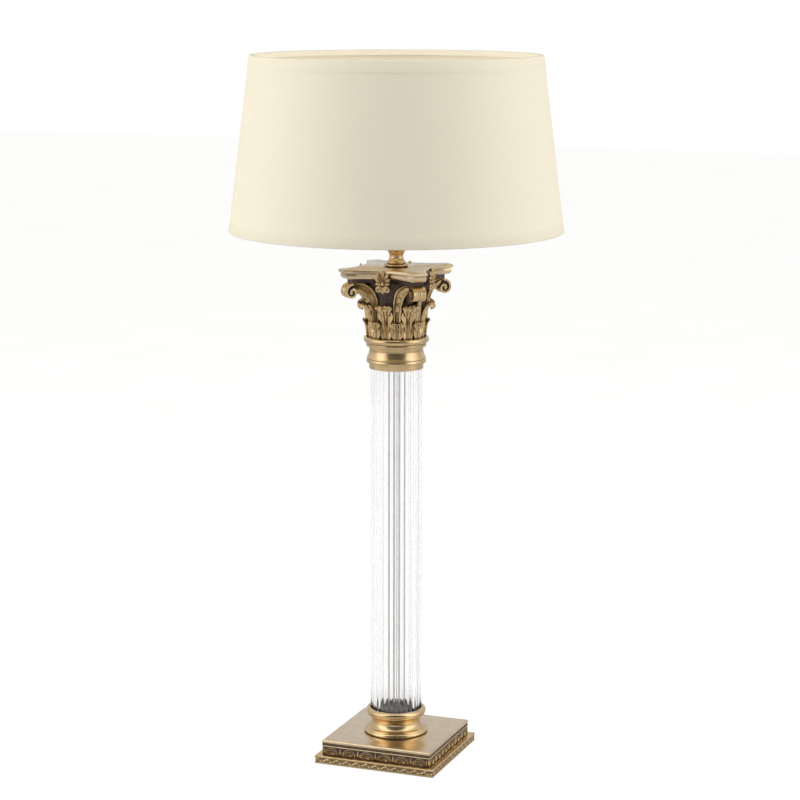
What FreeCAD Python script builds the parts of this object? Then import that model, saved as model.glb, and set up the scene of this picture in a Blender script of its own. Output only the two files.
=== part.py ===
import FreeCAD, Part
import math
import os

import Sketcher
from FreeCAD import Placement, Rotation, Vector

# A column table lamp: moulded square plinth, turned base ring, fluted glass column, turned necking,
# leaved capital with corner volutes, turned stem, lampholder, bulb and a fabric shade.
# Millimetres, +Z up, origin in the middle of the felt's underside. The plinth's sides lie along X and Y.
# The pieces are stacked: each height starts where the one below ends.

doc = FreeCAD.newDocument("ColumnTableLamp")

SIZES = {
    # felt, cover and screws under the plinth
    "felt_thickness": 1.5,
    "felt_recess": 0.9,
    "cover_thickness": 1.5,
    "cover_clearance": 0.3,
    "rabbet_wall": 6.0,
    "screw_radius": 1.5,
    "screw_head_radius": 2.8,
    "screw_head_height": 1.3,
    "screw_length": 12.0,
    "screw_spacing": 100.0,
    # plinth, from the step up to the cap
    "step_side": 146.1,
    "step_foot_height": 1.6,
    "step_band_height": 5.4,
    "step_band_depth": 0.7,
    "step_bead_height": 2.2,
    "frieze_side": 131.4,
    "frieze_height": 9.8,
    "frieze_wall": 3.0,
    "cap_side": 133.7,
    "cap_bead_height": 1.4,
    "cap_groove_height": 3.0,
    "cap_groove_depth": 0.8,
    "cap_edge_height": 3.3,
    "cap_edge_round": 2.2,
    "cap_plate_thickness": 4.0,
    # ballast and the clamping rod
    "ballast_gap": 1.0,
    "ballast_clearance": 0.5,
    "ballast_web": 11.1,
    "nut_pocket_radius": 13.0,
    "cord_way_width": 8.0,
    "cord_way_height": 6.0,
    "rod_radius": 5.0,
    "rod_bore": 3.5,
    "rod_clearance": 0.2,
    "rod_overhang": 1.2,
    "nut_circumradius": 9.8,
    "nut_thickness": 5.0,
    "holder_nut_thickness": 3.0,
    "washer_radius": 10.5,
    "washer_thickness": 1.5,
    # cord inlet at the rear of the step
    "inlet_height": 6.0,
    "inlet_bore": 2.5,
    "inlet_wall": 0.6,
    "inlet_flange_radius": 3.8,
    "inlet_flange_thickness": 1.2,
    # base ring
    "foot_bead_radius": 37.4,
    "foot_bead_height": 4.6,
    "foot_bead_swell": 1.3,
    "foot_fillet_radius": 35.6,
    "foot_fillet_height": 1.6,
    "scotia_radius": 28.8,
    "scotia_height": 15.0,
    "scotia_foot_step": 1.0,
    "scotia_rim_step": 0.5,
    "rim_fillet_radius": 33.9,
    "rim_fillet_height": 1.2,
    "rim_bead_radius": 35.0,
    "rim_bead_height": 5.6,
    "rim_lip_height": 1.3,
    "rim_lip_width": 2.2,
    "ring_socket_depth": 8.5,
    "ring_web": 5.0,
    "ring_wall": 6.0,
    # glass column, what centres it, and the tube inside it
    "glass_radius": 29.8,
    "glass_bore": 25.0,
    "glass_length": 418.4,
    "flute_radius": 5.6,
    "flute_depth": 1.0,
    "glass_clearance": 0.4,
    "gasket_thickness": 1.0,
    "gasket_lip": 0.2,
    "collar_clearance": 0.5,
    "lower_collar_height": 4.0,
    "collar_edge": 1.0,
    "upper_collar_recess": 1.5,
    "tube_radius": 6.2,
    "tube_wall": 1.0,
    "tube_socket_depth": 3.0,
    "tube_clearance": 0.2,
    # necking: cup over the glass, then the astragal
    "cup_band_wall": 0.9,
    "cup_band_height": 6.4,
    "cup_bead_radius": 34.2,
    "cup_bead_height": 4.8,
    "cup_groove_depth": 0.9,
    "cup_groove_height": 0.8,
    "cup_swell_radius": 33.9,
    "cup_swell_height": 8.6,
    "cup_swell_hollow": 0.5,
    "cup_neck_radius": 30.9,
    "cup_neck_height": 4.4,
    "cup_top_radius": 34.4,
    "cup_top_height": 0.8,
    "cup_socket_depth": 8.5,
    "cup_web": 4.0,
    "astragal_fillet_height": 3.6,
    "astragal_groove_radius": 33.6,
    "astragal_groove_height": 0.9,
    "astragal_radius": 37.4,
    "astragal_height": 6.5,
    "astragal_swell": 1.5,
    "hollow_radius": 24.0,
    # capital core
    "bell_foot_radius": 29.6,
    "bell_shaft_radius": 30.8,
    "bell_shaft_height": 14.0,
    "bell_top_radius": 38.0,
    "bell_height": 64.0,
    "bell_web": 5.0,
    "bell_hollow_radius": 32.8,
    # leaves: the shaft part lies on the piece behind, the tips curl out
    "leaf_ring_height": 2.5,
    "leaf_lobe": 1.1,
    "leaf_bend_rise": 9.0,
    "leaf_lean": 1.0,
    "upper_leaf_thickness": 2.2,
    "upper_leaf_height": 40.0,
    "upper_leaf_reach": 44.0,
    "upper_leaf_curl": 1.8,
    "upper_leaf_width": 17.0,
    "upper_leaf_tip_width": 13.0,
    "lower_leaf_thickness": 1.6,
    "lower_leaf_height": 20.0,
    "lower_leaf_reach": 37.2,
    "lower_leaf_curl": 1.6,
    "lower_leaf_width": 16.0,
    "lower_leaf_tip_width": 8.0,
    # corner volutes
    "volute_reach": 65.5,
    "volute_radius": 9.6,
    "volute_shrink": 0.79,
    "volute_band": 2.2,
    "volute_width": 15.0,
    "volute_stem_radius": 22.5,
    "volute_heel": 3.0,
    "stem_leaf_radius": 2.4,
    "stem_leaf_foot_rise": 7.0,
    "stem_leaf_middle_rise": 28.0,
    "stem_leaf_middle_radius": 35.0,
    # abacus and its recessed bed
    "abacus_corner": 68.2,
    "abacus_waist": 42.0,
    "abacus_corner_width": 15.0,
    "abacus_bed_inset": 11.0,
    "abacus_bed_height": 5.1,
    "abacus_fascia_height": 6.0,
    "abacus_fascia_inset": 2.6,
    "abacus_fascia_chamfer": 2.4,
    "abacus_groove_height": 1.2,
    "abacus_groove_inset": 3.6,
    "abacus_lip_height": 3.4,
    "abacus_lip_round": 1.2,
    # side palmettes
    "fleuron_height": 28.5,
    "fleuron_width": 16.6,
    "fleuron_thickness": 4.4,
    "fleuron_bite": 1.1,
    "fleuron_overlap": 12.4,
    "fleuron_heart_height": 8.0,
    "fleuron_scroll_radius": 3.3,
    # turned stem under the lampholder
    "stem_foot_radius": 11.1,
    "stem_foot_height": 1.4,
    "stem_bead_radius": 14.1,
    "stem_bead_height": 1.8,
    "stem_bead_swell": 0.9,
    "stem_groove_radius": 9.9,
    "stem_groove_height": 0.4,
    "stem_bulge_radius": 10.8,
    "stem_bulge_height": 2.7,
    "stem_waist_radius": 7.9,
    "stem_waist_rise": 5.6,
    "stem_flare_radius": 11.7,
    "stem_flare_height": 13.0,
    "stem_collar_height": 2.2,
    # lampholder
    "holder_foot_radius": 13.5,
    "holder_radius": 19.8,
    "holder_wall": 1.2,
    "holder_flare_height": 6.0,
    "holder_cup_height": 26.0,
    "block_clearance": 0.4,
    "block_height": 20.8,
    "block_hollow_radius": 10.2,
    "block_hollow_height": 6.4,
    "switch_bar_radius": 3.0,
    "switch_bar_length": 50.0,
    "switch_bar_travel": 4.0,
    "switch_bar_clearance": 0.3,
    "switch_bar_height": 14.0,
    "switch_bar_edge": 0.8,
    "cross_bore_length": 43.6,
    "insert_radius": 16.2,
    "insert_height": 6.0,
    "centre_contact_radius": 4.0,
    "centre_contact_height": 2.6,
    "centre_contact_rim": 0.6,
    "shell_radius": 13.9,
    "shell_wall": 0.4,
    "shell_length": 22.0,
    "skirt_flange_radius": 22.5,
    "skirt_flange_height": 3.0,
    "skirt_bore": 16.5,
    "skirt_length": 28.0,
    "skirt_edge": 1.0,
    # shade and how it is held
    "body_gap": 0.3,
    "fitter_clearance": 0.4,
    "fitter_radius": 27.0,
    "fitter_thickness": 1.5,
    "shade_ring_radius": 25.5,
    "shade_ring_height": 7.0,
    "shade_ring_edge": 1.5,
    "shade_ring_clearance": 0.3,
    "shade_drop": 9.5,
    "shade_height": 197.3,
    "shade_foot_radius": 190.0,
    "shade_top_radius": 165.3,
    "shade_wall": 0.8,
    "hem_thickness": 0.35,
    "hem_height": 13.0,
    "hem_return": 6.5,
    "wire_radius": 1.75,
    "arm_radius": 1.75,
    "arm_root": 0.9,
    # bulb
    "bulb_contact_radius": 4.5,
    "bulb_contact_height": 1.5,
    "bulb_contact_taper": 1.5,
    "bulb_insulator_height": 3.0,
    "bulb_insulator_rim": 1.0,
    "bulb_cap_radius": 13.3,
    "bulb_cap_height": 22.0,
    "bulb_cap_wall": 0.4,
    "bulb_neck_radius": 12.6,
    "bulb_radius": 30.0,
    "bulb_neck_length": 50.0,
    "bulb_neck_overlap": 3.0,
    "bulb_throat_swell": 1.5,
    "bulb_glass_wall": 0.8,
}

FLUTES = 24
LEAVES = 8
ARMS = 3
VOLUTE_QUARTERS = 6
PRISM_SIDES = 6
COS45 = math.sqrt(0.5)

# A round sweep that starts upright passes this share of its width and height half way along.
SWEEP_OUT = 0.27
SWEEP_UP = 0.6

# A leaf's edge has this many lobes from its foot to its tip.
LEAF_LOBES = 4

# Places on a leaf's rounded tip, in curls inwards from its reach and down from its top.
UPPER_TIP_FRONT = (0.5, 2.0)
UPPER_TIP_BACK = (2.4, 1.7)
UPPER_TIP_BROW = (1.9, 0.7)
LOWER_TIP_FRONT = (0.5, 1.5)
LOWER_TIP_NOSE = (0.0, 0.7)
LOWER_TIP_BROW = (1.7, 0.6)

# A volute's stem has come round by this share of its turn when it is half way up.
STEM_LEAF_TURN = 0.8

# The palmette's side lobes: degrees from upright, and length as a share of half the width.
PALMETTE_LOBES = ((24, 2.0), (50, 1.2), (82, 1.0))
PALMETTE_VALLEY = 0.4
PALMETTE_SCROLL_OUT = 1.25
PALMETTE_SHOULDER = 50
PALMETTE_SCROLL_SIDE = -47
PALMETTE_TOE = 215

# The wires lie this many times their own radius off the shade's wall, so that the tape goes round.
WIRE_STAND_OFF = 1.05

sheet = doc.addObject("Spreadsheet::Sheet", "Sizes")
for row, (alias, number) in enumerate(SIZES.items(), start=1):
    sheet.set(f"A{row}", alias)
    sheet.set(f"B{row}", str(number))
    sheet.setAlias(f"B{row}", alias)
doc.recompute()


class Dim:
    """A length with its expression, so that lengths worked out from sizes stay bound to the sheet."""

    def __init__(self, value, text):
        self.value = value
        self.text = text

    @staticmethod
    def of(item):
        return item if isinstance(item, Dim) else Dim(float(item), repr(float(item)))

    def joined(self, other, sign, value):
        return Dim(value, f"({self.text} {sign} {other.text})")

    def __add__(self, other):
        other = Dim.of(other)
        return self.joined(other, "+", self.value + other.value)

    def __radd__(self, other):
        return Dim.of(other) + self

    def __sub__(self, other):
        other = Dim.of(other)
        return self.joined(other, "-", self.value - other.value)

    def __rsub__(self, other):
        return Dim.of(other) - self

    def __mul__(self, other):
        other = Dim.of(other)
        return self.joined(other, "*", self.value * other.value)

    def __rmul__(self, other):
        return Dim.of(other) * self

    def __truediv__(self, other):
        other = Dim.of(other)
        return self.joined(other, "/", self.value / other.value)

    def __neg__(self):
        return Dim.of(0) - self


class Sizes:
    """The sheet's sizes by name, as Dims."""

    def __init__(self):
        for alias in SIZES:
            setattr(self, alias, Dim(float(sheet.get(alias)), f"Sizes.{alias}"))


size = Sizes()
nodes = []


# ---------------------------------------------------------------- helpers

def bind(feature, prop, dim):
    """Set a property from a size and keep it bound to the sheet."""
    dim = Dim.of(dim)
    feature.setExpression(prop, dim.text)


def node(feature, label):
    """Register a finished sub-part under its file name."""
    feature.Label = label
    nodes.append(feature)
    return feature


def new_body(name):
    return doc.addObject("PartDesign::Body", name)


def new_sketch(body, role, name, height=None):
    """A sketch on one of the body's own origin planes, lifted along the plane's normal by height."""
    plane = next(item for item in body.Origin.OriginFeatures if item.Role == role)
    sketch = body.newObject("Sketcher::SketchObject", name)
    sketch.AttachmentSupport = [(plane, "")]
    sketch.MapMode = "FlatFace"
    if height is not None:
        bind(sketch, "AttachmentOffset.Base.z", height)
    return sketch


def pin(sketch, geometry, end, place):
    """Hold a point of the sketch at place, bound to the sheet."""
    for kind, along in zip(("DistanceX", "DistanceY"), place):
        rule = Sketcher.Constraint(kind, -1, 1, geometry, end, along.value)
        number = sketch.addConstraint(rule)
        if "Sizes." in along.text:
            sketch.setExpression(f"Constraints[{number}]", along.text)


def flat(place):
    return Vector(place[0].value, place[1].value, 0)


def add_arc(sketch, start, via, end):
    """An arc through three places. Returns its number and which ends are its start and its end."""
    first = flat(via) - flat(start)
    second = flat(end) - flat(via)
    turns_left = first.cross(second).z > 0
    run = (start, end) if turns_left else (end, start)
    curve = Part.Arc(flat(run[0]), flat(via), flat(run[1]))
    arc = sketch.addGeometry(curve, False)
    guide = sketch.addGeometry(Part.Point(flat(via)), True)
    pin(sketch, guide, 1, via)
    sketch.addConstraint(Sketcher.Constraint("PointOnObject", guide, 1, arc))
    return (arc, 1, 2) if turns_left else (arc, 2, 1)


def dims(place):
    return tuple(Dim.of(item) for item in place)


def draw(sketch, corners):
    """Draw a closed outline and bind every corner to the sheet.

    A corner is (x, y), or (x, y, via) where the side to the next corner is an arc through via.
    """
    places = [dims(corner[:2]) for corner in corners]
    sides = []
    for index, corner in enumerate(corners):
        start = places[index]
        end = places[(index + 1) % len(corners)]
        if len(corner) == 3:
            sides.append(add_arc(sketch, start, dims(corner[2]), end))
        else:
            line = sketch.addGeometry(Part.LineSegment(flat(start), flat(end)), False)
            sides.append((line, 1, 2))
    for index, (side, first, last) in enumerate(sides):
        following, following_first, _ = sides[(index + 1) % len(sides)]
        sketch.addConstraint(Sketcher.Constraint("Coincident", side, last, following, following_first))
        pin(sketch, side, first, places[index])


def draw_circle(sketch, radius, place=(0, 0)):
    radius = Dim.of(radius)
    place = dims(place)
    circle = sketch.addGeometry(Part.Circle(flat(place), Vector(0, 0, 1), radius.value), False)
    number = sketch.addConstraint(Sketcher.Constraint("Radius", circle, radius.value))
    sketch.setExpression(f"Constraints[{number}]", radius.text)
    pin(sketch, circle, 3, place)


def draw_rectangle(sketch, left, right, low, high):
    draw(sketch, [(left, low), (right, low), (right, high), (left, high)])


def draw_square(sketch, half):
    draw_rectangle(sketch, -half, half, -half, half)


def pad(body, sketch, length, name, both_ways=False):
    feature = body.newObject("PartDesign::Pad", name)
    feature.Profile = sketch
    bind(feature, "Length", length)
    if both_ways:
        feature.SideType = "Symmetric"
    body.Tip = feature
    return feature


def pocket(body, sketch, name, length=None, reverse=False):
    """Cut the sketch's outline out of the body, through everything when no length is given."""
    feature = body.newObject("PartDesign::Pocket", name)
    feature.Profile = sketch
    if length is None:
        feature.Type = "ThroughAll"
    else:
        bind(feature, "Length", length)
    feature.Reversed = reverse
    body.Tip = feature
    return feature


def polar(body, feature, sketch, count, name):
    """Repeat a feature round the sketch's normal through the origin, which is the lamp's axis."""
    pattern = body.newObject("PartDesign::PolarPattern", name)
    pattern.Originals = [feature]
    pattern.Axis = (sketch, ["N_Axis"])
    pattern.Angle = 360
    pattern.Occurrences = count
    body.Tip = pattern
    return pattern


def revolve(body, sketch, name):
    feature = body.newObject("PartDesign::Revolution", name)
    feature.Profile = sketch
    feature.ReferenceAxis = (sketch, ["V_Axis"])
    feature.Angle = 360
    body.Tip = feature
    return feature


def turned(label, corners):
    """A piece turned on the lathe: corners are (radius, height), with arcs as draw has them."""
    body = new_body(label)
    sketch = new_sketch(body, "XZ_Plane", f"{label}_profile")
    draw(sketch, corners)
    revolve(body, sketch, f"{label}_turning")
    return node(body, label)


def band(label, inner, outer, low, high):
    """A plain turned ring."""
    return turned(label, [(inner, low), (outer, low), (outer, high), (inner, high)])


def cut_part(label, base, tool):
    feature = doc.addObject("Part::Cut", label)
    feature.Base = base
    feature.Tool = tool
    return feature


def fuse_parts(label, shapes):
    feature = doc.addObject("Part::MultiFuse", label)
    feature.Shapes = shapes
    feature.Refine = True
    return feature


def turned_copy(label, original, degrees):
    """The same piece again, turned about the lamp's axis."""
    feature = doc.addObject("Part::Compound", label)
    feature.Links = [original]
    feature.Placement = Placement(Vector(0, 0, 0), Rotation(Vector(0, 0, 1), degrees))
    return node(feature, label)


def cylinder(label, radius, length, place=Vector(0, 0, 0), turn=Rotation()):
    feature = doc.addObject("Part::Cylinder", label)
    bind(feature, "Radius", radius)
    bind(feature, "Height", length)
    feature.Placement = Placement(place, turn)
    return feature


def edges_at(shape, low, high):
    """Names of the edges that lie whole between two heights."""
    found = []
    slack = 0.01
    for number, edge in enumerate(shape.Edges, start=1):
        box = edge.BoundBox
        if box.ZMin > low - slack and box.ZMax < high + slack:
            found.append(f"Edge{number}")
    return found


def dress_edges(kind, body, below, low, high, amount, prop, name):
    """Round or chamfer the edges of the body's last feature between two heights."""
    doc.recompute()
    feature = body.newObject(kind, name)
    feature.Base = (below, edges_at(below.Shape, low.value, high.value))
    bind(feature, prop, amount)
    body.Tip = feature
    return feature


def round_edges(body, below, low, high, amount, name):
    return dress_edges("PartDesign::Fillet", body, below, low, high, amount, "Radius", name)


def chamfer_edges(body, below, low, high, amount, name):
    return dress_edges("PartDesign::Chamfer", body, below, low, high, amount, "Size", name)


def square_layers(body, name, layers):
    """Stack square plates: each layer is (low, high, half side). Returns the last pad."""
    for number, (low, high, half) in enumerate(layers, start=1):
        sketch = new_sketch(body, "XY_Plane", f"{name}_outline_{number}", low)
        draw_square(sketch, half)
        last = pad(body, sketch, high - low, f"{name}_layer_{number}")
    return last


def square_pocket(body, name, half, low, length):
    """Hollow a body out upwards from the height low."""
    sketch = new_sketch(body, "XY_Plane", f"{name}_outline", low)
    draw_square(sketch, half)
    return pocket(body, sketch, name, length, reverse=True)


def round_hole(body, name, radius, low, length, place=(0, 0)):
    """Bore a body upwards from the height low."""
    sketch = new_sketch(body, "XY_Plane", f"{name}_outline", low)
    draw_circle(sketch, radius, place)
    return pocket(body, sketch, name, length, reverse=True)


# ---------------------------------------------------------------- heights, from the table up

cover_top = size.felt_thickness + size.cover_thickness
step_bottom = size.felt_thickness - size.felt_recess
step_band_low = step_bottom + size.step_foot_height
step_band_high = step_band_low + size.step_band_height
step_top = step_band_high + size.step_bead_height
frieze_top = step_top + size.frieze_height
cap_groove_low = frieze_top + size.cap_bead_height
cap_groove_high = cap_groove_low + size.cap_groove_height
plinth_top = cap_groove_high + size.cap_edge_height
cap_underside = plinth_top - size.cap_plate_thickness
ballast_bottom = cover_top + size.ballast_gap

foot_bead_top = plinth_top + size.foot_bead_height
foot_fillet_top = foot_bead_top + size.foot_fillet_height
scotia_top = foot_fillet_top + size.scotia_height
rim_fillet_top = scotia_top + size.rim_fillet_height
rim_bead_top = rim_fillet_top + size.rim_bead_height
ring_top = rim_bead_top + size.rim_lip_height
ring_seat = ring_top - size.ring_socket_depth

glass_bottom = ring_seat + size.gasket_thickness
glass_top = glass_bottom + size.glass_length
cup_seat = glass_top + size.gasket_thickness
cup_bottom = cup_seat - size.cup_socket_depth
cup_band_top = cup_bottom + size.cup_band_height
cup_bead_top = cup_band_top + size.cup_bead_height
cup_groove_top = cup_bead_top + size.cup_groove_height
cup_swell_top = cup_groove_top + size.cup_swell_height
cup_neck_top = cup_swell_top + size.cup_neck_height
cup_top = cup_neck_top + size.cup_top_height
astragal_fillet_top = cup_top + size.astragal_fillet_height
astragal_groove_top = astragal_fillet_top + size.astragal_groove_height
capital_foot = astragal_groove_top + size.astragal_height

bell_shaft_top = capital_foot + size.bell_shaft_height
bell_top = capital_foot + size.bell_height
abacus_bottom = bell_top + size.abacus_bed_height
abacus_fascia_top = abacus_bottom + size.abacus_fascia_height
abacus_groove_top = abacus_fascia_top + size.abacus_groove_height
abacus_top = abacus_groove_top + size.abacus_lip_height

stem_foot_top = abacus_top + size.stem_foot_height
stem_bead_top = stem_foot_top + size.stem_bead_height
stem_groove_top = stem_bead_top + size.stem_groove_height
stem_bulge_top = stem_groove_top + size.stem_bulge_height
stem_flare_top = stem_bulge_top + size.stem_flare_height
holder_bottom = stem_flare_top + size.stem_collar_height
holder_floor = holder_bottom + size.holder_wall
holder_top = holder_bottom + size.holder_cup_height
skirt_flange_top = holder_top + size.skirt_flange_height
skirt_top = holder_top + size.skirt_length
block_top = holder_floor + size.block_height
insert_top = block_top + size.insert_height

fitter_bottom = skirt_flange_top + size.body_gap
fitter_top = fitter_bottom + size.fitter_thickness
shade_bottom = skirt_flange_top - size.shade_drop
shade_top = shade_bottom + size.shade_height

rod_hole = size.rod_radius + size.rod_clearance
washer_top = ballast_bottom + (cap_underside - ballast_bottom - size.ballast_web)
nut_top = washer_top - size.washer_thickness
nut_bottom = nut_top - size.nut_thickness
rod_bottom = nut_bottom - size.rod_overhang
holder_nut_top = holder_floor + size.holder_nut_thickness
rod_top = holder_nut_top + size.rod_overhang


# ---------------------------------------------------------------- plinth

step_half = size.step_side / 2
frieze_half = size.frieze_side / 2
cap_half = size.cap_side / 2
inner_half = frieze_half - size.frieze_wall
rabbet_half = step_half - size.rabbet_wall
cover_half = rabbet_half - size.cover_clearance
ballast_half = inner_half - size.ballast_clearance
inlet_barrel = size.inlet_bore + size.inlet_wall


def make_felt():
    body = new_body("felt_pad")
    square_layers(body, "felt", [(Dim.of(0), size.felt_thickness, cover_half)])
    return node(body, "felt_pad")


def make_screws():
    """Four countersunk screws, up through the cover into the ballast."""
    head_bottom = size.felt_thickness
    screws = []
    for number in range(4):
        shank = cylinder(f"screw_shank_{number + 1}", size.screw_radius, size.screw_length)
        head = doc.addObject("Part::Cone", f"screw_head_{number + 1}")
        bind(head, "Radius1", size.screw_head_radius)
        bind(head, "Radius2", size.screw_radius)
        bind(head, "Height", size.screw_head_height)
        screw = fuse_parts(f"screw_{number + 1}", [shank, head])
        across = size.screw_spacing / 2
        bind(screw, "Placement.Base.x", across if number in (0, 3) else -across)
        bind(screw, "Placement.Base.y", across if number in (0, 1) else -across)
        bind(screw, "Placement.Base.z", head_bottom)
        screws.append(screw)
    group = doc.addObject("Part::Compound", "cover_screws")
    group.Links = screws
    return node(group, "cover_screws")


def make_cover(screws):
    body = new_body("cover_plate")
    square_layers(body, "cover", [(size.felt_thickness, cover_top, cover_half)])
    return node(cut_part("bottom_cover", body, screws), "bottom_cover")


def make_step():
    body = new_body("base_step")
    band_half = step_half - size.step_band_depth
    square_layers(body, "step", [
        (step_bottom, step_band_low, step_half),
        (step_band_low, step_band_high, band_half),
        (step_band_high, step_top, step_half),
    ])
    square_pocket(body, "step_opening", inner_half, step_bottom, None)
    square_pocket(body, "step_rabbet", rabbet_half, step_bottom, cover_top - step_bottom)
    sketch = new_sketch(body, "XZ_Plane", "inlet_hole_outline")
    draw_circle(sketch, inlet_barrel, (0, size.inlet_height))
    pocket(body, sketch, "inlet_hole", step_half + size.inlet_flange_radius)
    return node(body, "base_step")


def make_frieze():
    body = new_body("plinth_frieze")
    square_layers(body, "frieze", [(step_top, frieze_top, frieze_half)])
    square_pocket(body, "frieze_opening", inner_half, step_top, None)
    return node(body, "plinth_frieze")


def make_cap():
    body = new_body("plinth_cap")
    last = square_layers(body, "cap", [
        (frieze_top, cap_groove_low, cap_half),
        (cap_groove_low, cap_groove_high, cap_half - size.cap_groove_depth),
        (cap_groove_high, plinth_top, cap_half),
    ])
    round_edges(body, last, plinth_top, plinth_top, size.cap_edge_round, "cap_edge")
    square_pocket(body, "cap_hollow", inner_half, frieze_top, cap_underside - frieze_top)
    round_hole(body, "cap_rod_hole", rod_hole, cap_underside, None)
    return node(body, "plinth_cap")


def make_ballast(screws):
    body = new_body("ballast_block")
    square_layers(body, "ballast", [(ballast_bottom, cap_underside, ballast_half)])
    pocket_depth = washer_top - ballast_bottom
    round_hole(body, "nut_pocket", size.nut_pocket_radius, ballast_bottom, pocket_depth)
    round_hole(body, "ballast_rod_hole", rod_hole, ballast_bottom, None)
    sketch = new_sketch(body, "XY_Plane", "cord_way_outline", ballast_bottom)
    half_way = size.cord_way_width / 2
    draw_rectangle(sketch, -half_way, half_way, Dim.of(0), ballast_half + size.ballast_clearance)
    pocket(body, sketch, "cord_way", size.cord_way_height, reverse=True)
    return node(cut_part("ballast_plate", body, screws), "ballast_plate")


def make_bushing():
    """Flanged bushing pressed into the rear of the step, drawn along Z and laid down along Y."""
    barrel_length = size.rabbet_wall
    face = size.inlet_flange_thickness
    bushing = turned("cord_bushing", [
        (size.inlet_bore, -barrel_length),
        (inlet_barrel, -barrel_length),
        (inlet_barrel, 0),
        (size.inlet_flange_radius, 0),
        (size.inlet_flange_radius, face / 2),
        (size.inlet_flange_radius - face / 2, face),
        (size.inlet_bore, face),
    ])
    bushing.Placement = Placement(Vector(0, 0, 0), Rotation(Vector(1, 0, 0), -90))
    bind(bushing, "Placement.Base.y", step_half)
    bind(bushing, "Placement.Base.z", size.inlet_height)
    return bushing


def make_nut(label, low, thickness):
    """Hexagon nut on the rod."""
    prism = doc.addObject("Part::Prism", f"{label}_blank")
    prism.Polygon = PRISM_SIDES
    bind(prism, "Circumradius", size.nut_circumradius)
    bind(prism, "Height", thickness)
    hole = cylinder(f"{label}_hole", size.rod_radius, thickness)
    nut = cut_part(label, prism, hole)
    bind(nut, "Placement.Base.z", low)
    return node(nut, label)


def make_rod():
    band("tie_rod", size.rod_bore, size.rod_radius, rod_bottom, rod_top)
    band("rod_washer", rod_hole, size.washer_radius, nut_top, washer_top)
    make_nut("rod_nut", nut_bottom, size.nut_thickness)
    make_nut("holder_nut", holder_floor, size.holder_nut_thickness)


# ---------------------------------------------------------------- base ring and glass

socket_radius = size.glass_radius + size.glass_clearance
collar_radius = size.glass_bore - size.collar_clearance
tube_socket = size.tube_radius + size.tube_clearance


def bead(foot_radius, reach, low, high):
    """Corner of a half-round bead that starts at foot_radius and swells to reach half way up."""
    return (foot_radius, low, (reach, (low + high) / 2))


def make_base_ring():
    bead_root = size.foot_bead_radius - size.foot_bead_swell
    rim_edge = socket_radius + size.rim_lip_width
    underside = ring_seat - size.ring_web
    hollow = size.scotia_radius - size.ring_wall
    scotia_middle = (size.scotia_radius, (foot_fillet_top + scotia_top) / 2)
    rim_middle = (size.rim_bead_radius, (rim_fillet_top + rim_bead_top) / 2)
    turned("base_ring", [
        (hollow, plinth_top),
        bead(bead_root, size.foot_bead_radius, plinth_top, foot_bead_top),
        (bead_root, foot_bead_top),
        (size.foot_fillet_radius, foot_bead_top),
        (size.foot_fillet_radius - size.scotia_foot_step, foot_fillet_top, scotia_middle),
        (size.rim_fillet_radius - size.scotia_rim_step, scotia_top),
        (size.rim_fillet_radius, rim_fillet_top, rim_middle),
        (size.rim_fillet_radius, rim_bead_top),
        (rim_edge, ring_top),
        (socket_radius, ring_top),
        (socket_radius, ring_seat),
        (rod_hole, ring_seat),
        (rod_hole, underside),
        (hollow, underside),
    ])


def make_lower_collar():
    top = ring_seat + size.lower_collar_height
    socket_floor = top - size.tube_socket_depth
    edge = size.collar_edge
    turned("lower_collar", [
        (rod_hole, ring_seat),
        (collar_radius, ring_seat),
        (collar_radius, top - edge),
        (collar_radius - edge, top),
        (tube_socket, top),
        (tube_socket, socket_floor),
        (rod_hole, socket_floor),
    ])
    return socket_floor


def make_upper_collar():
    bottom = cup_bottom + size.upper_collar_recess
    socket_top = bottom + size.tube_socket_depth
    turned("upper_collar", [
        (tube_socket, bottom),
        (collar_radius, bottom),
        (collar_radius, cup_seat),
        (rod_hole, cup_seat),
        (rod_hole, socket_top),
        (tube_socket, socket_top),
    ])
    return socket_top


def make_glass():
    body = new_body("glass_column")
    sketch = new_sketch(body, "XY_Plane", "glass_outline", glass_bottom)
    draw_circle(sketch, size.glass_radius)
    draw_circle(sketch, size.glass_bore)
    pad(body, sketch, size.glass_length, "glass_tube")
    flute_sketch = new_sketch(body, "XY_Plane", "flute_outline", glass_bottom)
    flute_centre = size.glass_radius - size.flute_depth + size.flute_radius
    draw_circle(flute_sketch, size.flute_radius, (flute_centre, 0))
    flute = pocket(body, flute_sketch, "flute", reverse=True)
    polar(body, flute, flute_sketch, FLUTES, "flutes")
    return node(body, "glass_column")


def make_column():
    make_base_ring()
    tube_low = make_lower_collar()
    tube_high = make_upper_collar()
    gasket_inner = size.glass_bore + size.gasket_lip
    gasket_outer = size.glass_radius + size.gasket_lip
    band("lower_gasket", gasket_inner, gasket_outer, ring_seat, glass_bottom)
    band("upper_gasket", gasket_inner, gasket_outer, glass_top, cup_seat)
    band("centre_tube", size.tube_radius - size.tube_wall, size.tube_radius, tube_low,
         tube_high - size.tube_clearance)
    make_glass()


# ---------------------------------------------------------------- necking

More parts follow.
